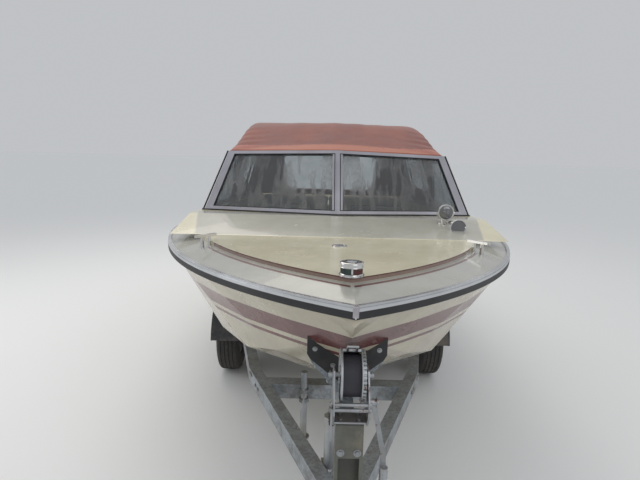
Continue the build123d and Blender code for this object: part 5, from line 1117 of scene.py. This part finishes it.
def facing(spot, normal):
    """Matrix that sets a piece modelled upright at the origin onto a spot, along its normal."""
    return Matrix.Translation(spot) @ normal.to_track_quat("Z", "Y").to_matrix().to_4x4()


def studs(name, seats, radius, kind="dome", body=HULL, finish=None):
    """Screws or hexagon bolts on surfaces. Seats: node, ray start, ray way."""
    turns = [facing(*seated(*seat)) for seat in seats]
    if kind == "dome":
        return scattered(name, dome(radius), turns, finish or "chrome", body)
    return scattered(name, hexagon(radius, 0.7, 0.42), turns, finish or "zinc", body)


# Seats on the outer side, the top, the back and the front of a node
def across(node, side, y, z):
    return node, (side * 2.0, y, z), (-side, 0, 0)


def above(node, x, y):
    return node, (x, y, 3.0), (0, 0, -1)


def astern(node, x, z):
    return node, (x, 4.0, z), (0, -1, 0)


def ahead(node, x, z):
    return node, (x, -4.0, z), (0, 1, 0)


RAIL_SCREWS = (-2.25, -2.1, -1.95, -1.8, -1.6, -1.4, -1.1, -0.8, -0.5, -0.2, 0.1, 0.4, 0.7, 1.0, 1.3, 1.6, 1.9, 2.2)
rail_seats = [across("rail_strip", side, y, sheer(y) + 0.004) for side in SIDES for y in RAIL_SCREWS]
studs("rail_screws", rail_seats, 0.0032)

# Metal cap over the joint of the rub rail at the tip, with its screw
tip = seated(*ahead("rub_rail", 0, sheer(-2.36) - 0.012))[0]
cap = block(off(tip, -tip.x, 0.011, 0.001), (0.019, 0.026, 0.034), name="rail_cap")
round_edges(
    cap, lambda edge: abs(edge.verts[0].co.z - edge.verts[1].co.z) > 0.02 and middle(edge).y < tip.y, 0.007, 5)
soften(cap, 0.0012, 2)
done(cap, "anodised")
studs("cap_screws", [ahead("rub_rail", 0, tip.z - 0.016)], 0.004)

# Raised frame and lenses of the bow light, red and green halves under a clear top
LIGHT_LOW, LIGHT_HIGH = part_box("bow_light")
LIGHT_FOOT = Vector((0, (LIGHT_LOW.y + LIGHT_HIGH.y) / 2, LIGHT_LOW.z))
LIGHT_TILT = Matrix.Rotation(-math.atan(SHEER_FALL), 4, "X")
LENS_RIBS = 36


def light_turned(obj):
    """Lean a piece with the deck, about the foot of the bow light."""
    obj.data.transform(Matrix.Translation(LIGHT_FOOT) @ LIGHT_TILT @ Matrix.Translation(-LIGHT_FOOT))
    return obj


def lens_half(name, side, finish):
    """Ribbed lens wrapped round one front quarter of the light's body."""
    bpy.ops.mesh.primitive_cylinder_add(vertices=72, radius=0.0365, depth=0.022, location=off(LIGHT_FOOT, z=0.019))
    lens = settle(bpy.context.object, name)
    for vertex in lens.data.vertices:
        out = Vector((vertex.co.x, vertex.co.y - LIGHT_FOOT.y, 0))
        angle = math.atan2(out.x, -out.y)
        vertex.co += out.normalized() * 0.0009 * math.cos(angle * LENS_RIBS)

    def unwanted(face):
        place = face.calc_center_median()
        return side * place.x < 0.004 or place.y > LIGHT_FOOT.y + 0.004
    shed(lens, unwanted)
    fit(lens, "SOLIDIFY", thickness=0.0012, offset=-1)
    done(light_turned(lens), finish)


lens_half("bow_lens_red", 1, "lens_red")
lens_half("bow_lens_green", -1, "lens_green")
collar = ring(off(LIGHT_FOOT, z=0.007), UP, 0.037, 0.0028)
brim = ring(off(LIGHT_FOOT, z=0.031), UP, 0.0395, 0.0024)
done(light_turned(joined("bow_light_trim", [collar, brim])), "chrome")
crown = ball(off(LIGHT_FOOT, z=0.044), 0.030, (1, 1, 0.16), (32, 12), "bow_light_top")
done(light_turned(crown), "lens_clear")
light_seats = [above("bow_light", x, LIGHT_FOOT.y + y) for x, y in ((0.039, 0.012), (-0.039, 0.012), (0, 0.041))]
studs("bow_light_screws", light_seats, 0.003)


def front_middle(node, drop):
    """Middle of a round front that faces ahead, a drop below the node's top."""
    low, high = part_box(node)
    return Vector(((low.x + high.x) / 2, low.y, high.z - drop))


# Searchlight: fluted lens, bright rim with clamp, yoke and knob
LAMP = front_middle("searchlight", 0.043)
pane = ball((0, 0, 0), 0.039, (1, 1, 0.22), (48, 16), "searchlight_lens")
for vertex in pane.data.vertices:
    if vertex.co.z > 0.002:
        vertex.co.z += 0.0005 * math.cos(vertex.co.x * 1900)
pane.data.transform(Matrix.Translation(off(LAMP, y=0.002)) @ Matrix.Rotation(QUARTER, 4, "X"))
done(pane, "lens_dark", smooth=60)
rim = ring(off(LAMP, y=0.001), AFT, 0.0425, 0.0032)
clamp = soften(block(off(LAMP, 0.0445, 0.004), (0.008, 0.012, 0.010)), 0.0015)
knob = soften(rod(off(LAMP, 0.036, 0.034), off(LAMP, 0.050, 0.034), 0.007, 16), 0.0012)
yoke_turns = [math.radians(a) for a in range(-90, 91, 12)]
yoke = tube([off(LAMP, 0.044 * math.sin(a), 0.034, -0.046 * math.cos(a)) for a in yoke_turns], 0.0028, "yoke", True)
grouped("searchlight_trim", [rim, clamp, knob, yoke], "chrome")

# Horn: dark throat behind a bright lip, and the band round its neck
HORN = front_middle("horn", 0.044)
done(rod(off(HORN, y=0.006), off(HORN, y=0.030), 0.038, 40, "horn_throat", 0.024), "lens_dark")
lip = ring(off(HORN, y=0.002), AFT, 0.0425, 0.0024)
neck_band = ring(off(HORN, y=0.062), AFT, 0.0125, 0.0025)
grouped("horn_trim", [lip, neck_band], "chrome")

# ---------------------------------------------------------------- windshield seals
SCREEN_FOOT = Vector((0.815, -0.703, 1.3051))
SCREEN_CORNERS = (Vector((0, -0.883, 1.3099)), SCREEN_FOOT, SCREEN_CORNER, Vector((0, -0.643, 1.684)))
WING_CORNERS = (SCREEN_FOOT, Vector((0.826, 0.197, 1.2808)), Vector((0.7106, -0.1325, 1.6359)), SCREEN_CORNER)


def moved_in(corners, widths):
    """Corners of a pane whose sides are each moved in by their own width, in its plane."""
    normal = (corners[1] - corners[0]).cross(corners[-1] - corners[0]).normalized()
    lines = []
    for index, width in enumerate(widths):
        start, end = corners[index], corners[(index + 1) % len(corners)]
        inward = normal.cross(end - start).normalized()
        lines.append((start + inward * width, (end - start).normalized()))
    places = []
    for index in range(len(lines)):
        (a, u), (b, v) = lines[index - 1], lines[index]
        across_v = v - u * v.dot(u)
        places.append(b - v * ((b - a).dot(across_v) / across_v.dot(across_v)))
    return places, normal


def seal(name, corners, widths, radius, lift):
    places, normal = moved_in(corners, widths)
    if normal.y > 0 or (abs(normal.y) < 0.3 and normal.x < 0):
        normal = -normal
    return twinned(tube([place + normal * lift for place in places], radius, name, cyclic=True))


PANE_RIMS = (0.0255, 0.0475, 0.0255, 0.0155)
WING_RIMS = (0.0255,) * 4
seals = [
    seal("pane_seal", SCREEN_CORNERS, PANE_RIMS, 0.0042, 0.0095),
    seal("pane_seal_inside", SCREEN_CORNERS, PANE_RIMS, 0.0036, -0.0095),
    seal("wing_seal", WING_CORNERS, WING_RIMS, 0.0034, 0.0060),
]
grouped("windshield_seals", seals, "black_rubber")
sill_line = [
    (-0.832, -0.716, 1.3085), (-0.415, -0.806, 1.3115), (0, -0.898, 1.3135), (0.415, -0.806, 1.3115),
    (0.832, -0.716, 1.3085),
]
done(tube(sill_line, 0.0055, "sill_bead"), "black_rubber")
pillar_line = [(0.829, -0.700, 1.3080), (0.712, -0.4925, 1.6690)]
done(twinned(tube(pillar_line, 0.0050, "pillar_beads")), "black_rubber")
screen_seats = []
for side in SIDES:
    for share in (0.05, 0.275, 0.5, 0.725, 0.95):
        low = off(SCREEN_CORNERS[0].lerp(SCREEN_FOOT, share), y=0.0045, z=0.011)
        screen_seats.append(("windshield_frame", (side * low.x, low.y - 0.4, low.z + 0.26), (0, 0.84, -0.53)))
studs("screen_screws", screen_seats, 0.0034)

# ---------------------------------------------------------------- padded seats
PIPING_STEPS = [-1 + step / 12 for step in range(24)]


def stuffed(name, place, half, radius, crown, pull, channels, body=HULL):
    """Stuffed pad in its own frame, crowned, its sides pulled in between the corners, with channels and piping."""
    hx, hy, hz = half

    def worked(point):
        core = Vector([max(-h + radius, min(h - radius, value)) for value, h in zip(point, half)])
        out = point - core
        if out.length > 1e-7:
            point = core + out.normalized() * radius
        a, b, c = point.x / hx, point.y / hy, point.z / hz
        swell = crown * (1 - a ** 4) * (1 - b ** 4) * (1 if c > 0 else 0.15)
        for u in channels:
            swell -= 0.34 * crown * math.exp(-((point.x - u) / 0.010) ** 2) * max(0, c)
        point.z += swell * c
        point.x *= 1 - pull * (1 - b ** 2) * (1 - 0.4 * abs(c))
        point.y *= 1 - pull * (1 - a ** 2) * (1 - 0.4 * abs(c))
        return point

    pad = divided(block((0, 0, 0), (2, 2, 2), name=name), 43)
    for vertex in pad.data.vertices:
        point = worked(Vector((vertex.co.x * hx, vertex.co.y * hy, vertex.co.z * hz)))
        edge = max(abs(point.x) / hx, abs(point.y) / hy)
        pucker = field.noise(Vector((point.x * 70, point.y * 70, point.z * 14 + hx))) * 0.0012 * max(0, edge - 0.7) * 3
        give = field.noise(Vector((point.x * 11, point.y * 9, hy * 37))) * 0.0022
        point.z += (pucker + give) * (1 if vertex.co.z > 0 else 0)
        vertex.co = point
    sides = ([(t, -1) for t in PIPING_STEPS] + [(1, t) for t in PIPING_STEPS]
             + [(-t, 1) for t in PIPING_STEPS] + [(-1, -t) for t in PIPING_STEPS])
    beads = []
    for level in (0.82, -0.82) if hz > 0.03 else (0.7,):
        path = [worked(Vector((a * hx, b * hy, level * hz))) for a, b in sides]
        beads.append(tube(path, 0.0036, name + "_bead", cyclic=True))
    piping = joined(name + "_piping", beads)
    for part in (pad, piping):
        part.data.transform(place)
    done(pad, "seat_vinyl", body, 50)
    done(piping, "piping_vinyl", body, 60)
    return pad


# Lean of the backs: run over rise
BACK_LEAN = math.atan2(0.05, 0.265)
BENCH_LEAN = math.atan2(0.04, 0.265)
SEAT_CHANNELS = (-0.11, 0.0, 0.11)
BENCH_CHANNELS = (-0.20, -0.10, 0.0, 0.10, 0.20)
SEAT_X = 0.400
# Pads in pairs: name, distance from the middle, y, z, turn about x, half sizes, corner radius, channels across,
# node whose place the left one takes
PADS = (
    ("seat_pad", SEAT_X, 0.268, 0.930, 0.0, (0.228, 0.192, 0.052), 0.030, SEAT_CHANNELS, "front_seats"),
    ("bench_pad", 0.350, 1.178, 0.930, 0.0, (0.346, 0.200, 0.052), 0.030, BENCH_CHANNELS, "rear_bench"),
    ("seat_back", SEAT_X, 0.5355, 1.095, QUARTER - BACK_LEAN, (0.228, 0.138, 0.043), 0.028, SEAT_CHANNELS, None),
    ("bench_back", 0.350, 1.4480, 1.095, QUARTER - BENCH_LEAN, (0.346, 0.138, 0.048), 0.028, BENCH_CHANNELS, None),
)
for name, x, y, z, turn, half, radius, channels, node in PADS:
    for hand, side in (("_left", -1), ("_right", 1)):
        place = Matrix.Translation((side * x, y, z)) @ Matrix.Rotation(turn, 4, "X")
        pad = stuffed(name + hand, place, half, radius, 0.012, 0.02, channels)
        if node and side < 0:
            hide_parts(node)
lid_low, lid_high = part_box("engine_lid")
stuffed(
    "engine_lid_pad", Matrix.Translation((0, (lid_low.y + lid_high.y) / 2 - 0.010, 1.116)),
    (0.362, 0.252, 0.016), 0.012, 0.009, 0.01, (-0.22, -0.11, 0.0, 0.11, 0.22), "engine_lid",
)
# Boards under the seats and the arms of their backs
shells = []
for x in (-SEAT_X, SEAT_X):
    shells.append(soften(block((x, 0.320, 0.8765), (0.440, 0.420, 0.012)), 0.004))
    for side in SIDES:
        arm = block((x + side * 0.222, 0.545, 0.975), (0.010, 0.055, 0.190), (-BACK_LEAN, 0, 0))
        shells.append(soften(arm, 0.004))
grouped("seat_shells", shells, "black_plastic")

# ---------------------------------------------------------------- canopy fasteners
NODE["canopy_cloth"] = cloth
hem_seats = []
for side in SIDES:
    for y in (0.26, 0.44, 0.62, 0.80, 0.98, 1.16, 1.34):
        hem_seats.append(across("canopy_cloth", side, y, 1.3035 - 0.0287 * (y - 0.211)))
    for share in (0.15, 0.38, 0.62, 0.86):
        y, z = -0.1285 + 0.3395 * share + 0.020, 1.650 - 0.3655 * share + 0.012
        hem_seats.append(across("canopy_cloth", side, y, z))
for x in (-0.62, -0.45, -0.27, -0.09, 0.09, 0.27, 0.45, 0.62):
    hem_seats.append(astern("canopy_cloth", x, 1.272))
studs("canopy_studs", hem_seats, 0.0058)

# ---------------------------------------------------------------- dash, helm and cockpit
GAUGE_WAY = Vector((0, 0.087, 0.045)).normalized()
# Gauges: place across the dash, radius
GAUGES = ((-0.575, 0.030), (-0.490, 0.036), (-0.400, 0.036), (-0.310, 0.036), (-0.225, 0.030))
SWITCHES = (-0.13, -0.08, -0.03, 0.02, 0.07)


def on_dash(x):
    """Place on the sloping face of the dash, and a function that gives places over it."""
    spot = seated("dash", Vector((x, -0.4975, 1.2335)) + GAUGE_WAY * 0.3, -GAUGE_WAY)[0]
    return lambda height: spot + GAUGE_WAY * height


bezels, dials, needles, toggles = [], [], [], []
for x, radius in GAUGES:
    over = on_dash(x)
    bezels.append(ring(over(0.003), GAUGE_WAY, radius, 0.0035, (32, 8)))
    dials.append(rod(over(-0.002), over(0.003), radius, 32))
    point = over(0.005) + Matrix.Rotation(x * 9, 4, GAUGE_WAY) @ Vector((0.7 * radius, 0, 0))
    needles.append(rod(over(0.005), point, 0.0014, 6, top=0.0005))
grouped("gauge_bezels", bezels, "chrome")
grouped("gauge_dials", dials, "black_paint")
grouped("gauge_needles", needles, "lens_red")
for x in SWITCHES:
    over = on_dash(x)
    toggles.append(rod(over(-0.002), over(0.004), 0.009, 12))
    toggles.append(rod(over(0), off(over(0.016), z=0.006), 0.003, 10, top=0.004))
grouped("dash_switches", toggles, "chrome")

HELM_RADIUS = 0.163
HELM_WAY = Vector((0, 0.88295, 0.46947))
HELM_TURN = Matrix.Translation((-SEAT_X, -0.370, 1.140)) @ HELM_WAY.to_track_quat("Z", "Y").to_matrix().to_4x4()
grip = ring((0, 0, 0), UP, HELM_RADIUS, 0.0128, (96, 14), "helm_grip")
for vertex in grip.data.vertices:
    turn = math.atan2(vertex.co.y, vertex.co.x)
    core = Vector((HELM_RADIUS * math.cos(turn), HELM_RADIUS * math.sin(turn), 0))
    inner = 1 if vertex.co.xy.length < HELM_RADIUS else 0
    vertex.co = core + (vertex.co - core) * (1 + 0.10 * inner * math.cos(turn * 30))
horn_push = ball((0, 0, 0.010), 0.026, (1, 1, 0.45), (28, 12), "helm_button")
eyelets = []
for turn in (90, 210, 330):
    for reach in (0.060, 0.085, 0.110):
        hole = ring((reach, 0, 0.0035), UP, 0.0065, 0.0012, (18, 6))
        hole.data.transform(Matrix.Rotation(math.radians(turn), 4, "Z"))
        eyelets.append(hole)
for part, finish, smooth in (
    (grip, "dash_vinyl", 60), (horn_push, "chrome", 60), (joined("helm_eyelets", eyelets), "chrome", 35),
):
    part.data.transform(HELM_TURN)
    done(part, finish, "steering_wheel", smooth)
done(ball((-0.690, -0.094, 1.118), 0.016, (1, 1, 1), (20, 14), "throttle_knob"), "black_plastic")

MAT_SIZE = (1.38, 2.02)
bpy.ops.mesh.primitive_grid_add(x_subdivisions=60, y_subdivisions=84, size=1, location=(0, 0.52, 0.6925))
mat = bpy.context.object
mat.scale = (*MAT_SIZE, 1)
settle(mat, "floor_mat")
for vertex in mat.data.vertices:
    wave = math.sin(vertex.co.x * 9 + 1.3) * math.sin(vertex.co.y * 6.1)
    vertex.co.z += 0.0012 * (wave + 1)
fit(mat, "SOLIDIFY", thickness=0.004, offset=1)
done(mat, "floor_carpet")

# ---------------------------------------------------------------- winch
WINCH_HUB = Vector((0, -2.275, 0.975))
cheek_nuts = [(-0.066, WINCH_HUB.y, WINCH_HUB.z, "-x"), (0.066, WINCH_HUB.y, WINCH_HUB.z, "x")]
for y, z in ((-2.335, 0.906), (-2.337, 0.889)):
    cheek_nuts += [(-0.062, y, z, "-x"), (0.056, y, z, "x")]
bolts("winch_nuts", cheek_nuts, 0.0085)
bolts("crank_nut", [(0.080, -2.305, 0.900, "x")], 0.010)
bolts("post_bolts", [(x, -2.305, 0.724, "-y") for x in (-0.027, 0.027)], 0.0085)
bolts("frame_bolts", [(x, y, 0.832, "z") for x in (-0.030, 0.030) for y in (-2.292, -2.258)], 0.0075)
pawl = block((-0.0605, -2.331, 0.838), (0.005, 0.022, 0.115), (math.radians(4), 0, 0), "winch_pawl")
round_edges(pawl, lambda edge: abs(edge.verts[0].co.x - edge.verts[1].co.x) > 0.004, 0.009, 4)
hook_tip = block((-0.0595, -2.318, 0.888), (0.006, 0.030, 0.012), (math.radians(-35), 0, 0))
grouped("winch_pawl", [pawl, soften(hook_tip, 0.002)], "zinc")
drum = [ring(off(WINCH_HUB, x), ACROSS, 0.0805, 0.0022, (64, 8)) for x in (-0.0335, 0.0300)]
for turn in range(0, 360, 60):
    rib = soften(block((0, 0, 0.052), (0.003, 0.010, 0.040)), 0.0012)
    rib.data.transform(Matrix.Translation(off(WINCH_HUB, -0.0345)) @ Matrix.Rotation(math.radians(turn), 4, "X"))
    drum.append(rib)
grouped("winch_drum_rims", drum, "zinc")
layers = [
    ring(off(WINCH_HUB, x), ACROSS, radius, 0.0012, (48, 6))
    for radius in (0.0500, 0.0545, 0.0590, 0.0635) for x in (-0.0286, 0.0286)
]
grouped("strap_edges", layers, "black_webbing")
CRANK_LOW, CRANK_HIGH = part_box("winch_crank")
sleeve = Vector((CRANK_HIGH.x - 0.013, (CRANK_LOW.y + CRANK_HIGH.y) / 2, CRANK_LOW.z + 0.014))
sleeve_rings = [ring(off(sleeve, z=index * 0.010), UP, 0.0118, 0.0022, (24, 6)) for index in range(9)]
grouped("crank_sleeve_rings", sleeve_rings, "black_rubber")

# ---------------------------------------------------------------- trailer fasteners
CROSS_MEMBERS = (-0.465, 0.335, 1.135, 1.835)
RAIL_X = 0.078
frame_seats = []
for side in SIDES:
    frame_seats += [across("side_rails", side, y + shift, 0.3925) for y in CROSS_MEMBERS for shift in (-0.018, 0.018)]
    frame_seats += [across("drawbar", side, -1.265 + shift, 0.41) for shift in (-0.022, 0.022)]
    frame_seats += [across("drawbar", side, y, 0.43) for y in (-1.16, -1.135)]
studs("frame_bolts_side", frame_seats, 0.0095, "hex")
chock_seats = [("bow_chock", (side * x, -2.045, 0.3), UP) for side in SIDES for x in (0.062, 0.108)]
studs("chock_bolts", chock_seats, 0.0085, "hex")
chock_front = [ahead("chock_pads", side * x, z) for side in SIDES for x, z in ((0.050, 0.915), (0.115, 0.975))]
studs("pad_screws", chock_front, 0.0060, "hex")
# A U bolt round its cross-member: y from the middle, z
U_BOLT = ((-0.036, 0.424), (-0.036, 0.372), (-0.030, 0.3665), (0.030, 0.3665), (0.036, 0.372), (0.036, 0.424))
clips, clip_nuts = [], []
for y in CROSS_MEMBERS:
    for x in (-RAIL_X, RAIL_X):
        clips.append(tube([(x, y + along, z) for along, z in U_BOLT], 0.0045, "u_bolt"))
        clip_nuts += [(x, y + side * 0.036, 0.416, "z") for side in SIDES]
grouped("u_bolts", clips, "zinc")
bolts("u_bolt_nuts", clip_nuts, 0.0080)
OUTWARD = {1: "x", -1: "-x"}
bolts("coupling_bolts", [(side * 0.0305, y, 0.412, OUTWARD[side]) for side in SIDES for y in (-2.76, -2.80)], 0.009)
bolts("bunk_bolts", [(side * 0.540, y, 0.560, OUTWARD[-side]) for side in SIDES for y in CROSS_MEMBERS[1:]], 0.008)

# ---------------------------------------------------------------- wheels and mudguards
# Half of the tyre's section: place across, radius
TREAD = (
    (-0.0625, 0.1655), (-0.0745, 0.1750), (-0.0805, 0.1900), (-0.0825, 0.2100), (-0.0818, 0.2330), (-0.0822, 0.2360),
    (-0.0790, 0.2560), (-0.0720, 0.2745), (-0.0640, 0.2835), (-0.0540, 0.2880), (-0.0465, 0.2893), (-0.0452, 0.2825),
    (-0.0398, 0.2825), (-0.0385, 0.2896), (-0.0178, 0.2900), (-0.0166, 0.2828), (-0.0114, 0.2828), (-0.0102, 0.2900),
)
TYRE_STEPS = 240
WHEEL_X = 0.7525
WHEEL_Z = 0.290
AXLES = {"front": -0.105, "rear": 0.625}
NUT_CIRCLE = 0.052


def spun(name, outline, centre):
    """Closed ring from an outline of places across and radii, about an axis along x."""
    spots = [(centre[0] + x, centre[1], centre[2] + r) for x, r in outline]
    obj = outlined(name, spots, False)
    bpy.ops.mesh.spin(steps=TYRE_STEPS, angle=math.tau, center=centre, axis=ACROSS)
    bpy.ops.mesh.select_all(action="SELECT")
    bpy.ops.mesh.remove_doubles(threshold=0.00002)
    bpy.ops.mesh.normals_make_consistent(inside=False)
    leave()
    return obj


def cut_tread(tyre, x, y):
    """Press blocks into the tread, offset by half a block on the shoulders."""
    for vertex in tyre.data.vertices:
        out = Vector((0, vertex.co.y - y, vertex.co.z - WHEEL_Z))
        place = math.atan2(out.y, out.z) / math.tau * TYRE_STEPS
        from_middle = abs(vertex.co.x - x)
        in_gap = round(place + (2 if from_middle > 0.03 else 0)) % 4 == 0
        if out.length > 0.2860 and in_gap and from_middle > 0.009:
            vertex.co -= out.normalized() * 0.0045


outline = TREAD + tuple((-x, r) for x, r in reversed(TREAD))
for corner in CORNERS:
    axle, hand = corner.split("_")
    side, y, body = 1 if hand == "right" else -1, AXLES[axle], "wheel_" + corner
    x = side * WHEEL_X
    tyre = spun("tread_" + corner, outline, (x, y, WHEEL_Z))
    cut_tread(tyre, x, y)
    done(tyre, "tyre_rubber", body, 40)
    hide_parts("tyre_" + corner)
    nuts = []
    for turn in range(18, 378, 72):
        along, rise = NUT_CIRCLE * math.cos(math.radians(turn)), NUT_CIRCLE * math.sin(math.radians(turn))
        nuts.append(across("rim_" + corner, side, y + along, WHEEL_Z + rise))
    studs("wheel_nuts_" + corner, nuts, 0.0105, "hex", body)
    hub = ball((x + side * 0.0440, y, WHEEL_Z), 0.0255, (0.62, 1, 1), (32, 14), "hub_cap_" + corner)
    done(hub, "zinc", body, 60)
    stem = rod(
        (x + side * 0.052, y, WHEEL_Z + 0.140), (x + side * 0.072, y, WHEEL_Z + 0.136), 0.0045, 12, "valve_" + corner)
    done(soften(stem, 0.001), "black_rubber", body)

GUARD_RADIUS = 0.318
guard_line = []
for y, arc in ((AXLES["front"], range(7, 91, 6)), (AXLES["rear"], range(91, 174, 6))):
    for turn in arc:
        back, rise = GUARD_RADIUS * math.cos(math.radians(turn)), GUARD_RADIUS * math.sin(math.radians(turn))
        guard_line.append((y - back, WHEEL_Z + rise))
lips = [tube([(x, y, z) for y, z in guard_line], 0.0042, "guard_lip") for x in (0.8555, 0.6495)]
done(twinned(joined("guard_lips", lips)), "guard_plastic")
guard_seats = [
    above("mudguards", side * WHEEL_X + shift, 0.26 + along)
    for side in SIDES for shift in (-0.012, 0.012) for along in (-0.012, 0.012)
]
studs("guard_bolts", guard_seats, 0.0065, "hex")
lamp_seats = [
    astern("tail_lamps", side * (0.700 + shift), 0.420 + rise)
    for side in SIDES for shift in (-0.088, 0.088) for rise in (-0.040, 0.040)
]
studs("lamp_screws", lamp_seats, 0.0035)

# ---------------------------------------------------------------- stern and deck fittings
shield_seats = [astern("transom_shield", x, z) for x in (-0.165, 0.165) for z in (0.69, 0.80, 0.91, 1.02)]
studs("shield_bolts", shield_seats, 0.0085, "hex")


def set_down(name, parts, seat):
    """Chrome fitting, modelled at the origin, on its seat."""
    fitting = joined(name, parts)
    fitting.data.transform(facing(*seated(*seat)))
    done(fitting, "chrome")


filler = soften(rod((0, 0, -0.001), (0, 0, 0.007), 0.032, 40), 0.002)
slot_bar = soften(block((0, 0, 0.0085), (0.040, 0.007, 0.005)), 0.001)
cap_ring = ring((0, 0, 0.006), UP, 0.024, 0.0016, (36, 6))
set_down("filler_cap", [filler, slot_bar, cap_ring], above("deck", -0.905, 1.62))
plate_ring = ring((0, 0, 0.0006), UP, 0.0285, 0.0016, (40, 6))
plate_slots = [block((0.012 * side, 0, 0.0010), (0.004, 0.016, 0.002)) for side in SIDES]
set_down("deck_plate_ring", [plate_ring] + plate_slots, above("deck_plate", -0.014, -1.549))

# ---------------------------------------------------------------- stern drive
studs("propeller_nut", [astern("propeller", 0, 0.275)], 0.017, "hex", "propeller", "brass")
leg_seats = [across("drive_leg", side, y, z) for side in SIDES for z in (0.76, 0.90) for y in (2.63, 2.72)]
studs("drive_bolts", leg_seats, 0.0075, "hex", "drive_leg")
studs("drive_plate_bolts", [above("drive_leg", x, 2.80) for x in (-0.035, 0.035)], 0.0065, "hex", "drive_leg")
hoods = []
for side in SIDES:
    spot, normal = seated(*above("deck", side * 0.45, 2.20))
    for index in range(4):
        hood = ball((0, 0, 0), 0.020, (1.9, 0.42, 0.34), (24, 10))
        hood.data.transform(facing(off(spot, y=-0.033 + index * 0.022), normal))
        hoods.append(hood)
grouped("engine_vents", hoods, "chrome", smooth=60)

# ---------------------------------------------------------------- clamp levers of the jockey wheel and the steady leg
levers = []
for node, start in (("jockey_clamp", (-0.046, -2.2, 0.428)), ("trailer_brackets", (-0.165, -1.55, 0.436))):
    spot = seated(node, start, AFT)[0]
    levers.append(rod(off(spot, y=0.002), off(spot, y=-0.040), 0.006, 16))
    levers.append(rod(off(spot, y=-0.036, z=-0.034), off(spot, y=-0.036, z=0.034), 0.0045, 12))
    levers += [ball(off(spot, y=-0.036, z=end), 0.0075, (1, 1, 1), (16, 10)) for end in (-0.034, 0.034)]
grouped("clamp_levers", levers, "zinc")
GRIP_FOOT = Vector((-0.046, -2.048, 0.667))
grip_parts = [soften(rod(GRIP_FOOT, off(GRIP_FOOT, z=0.078), 0.0115, 24), 0.003)]
grip_parts += [ring(off(GRIP_FOOT, z=0.013 + index * 0.010), UP, 0.0118, 0.0013, (24, 6)) for index in range(6)]
grouped("jockey_grip", grip_parts, "black_rubber")
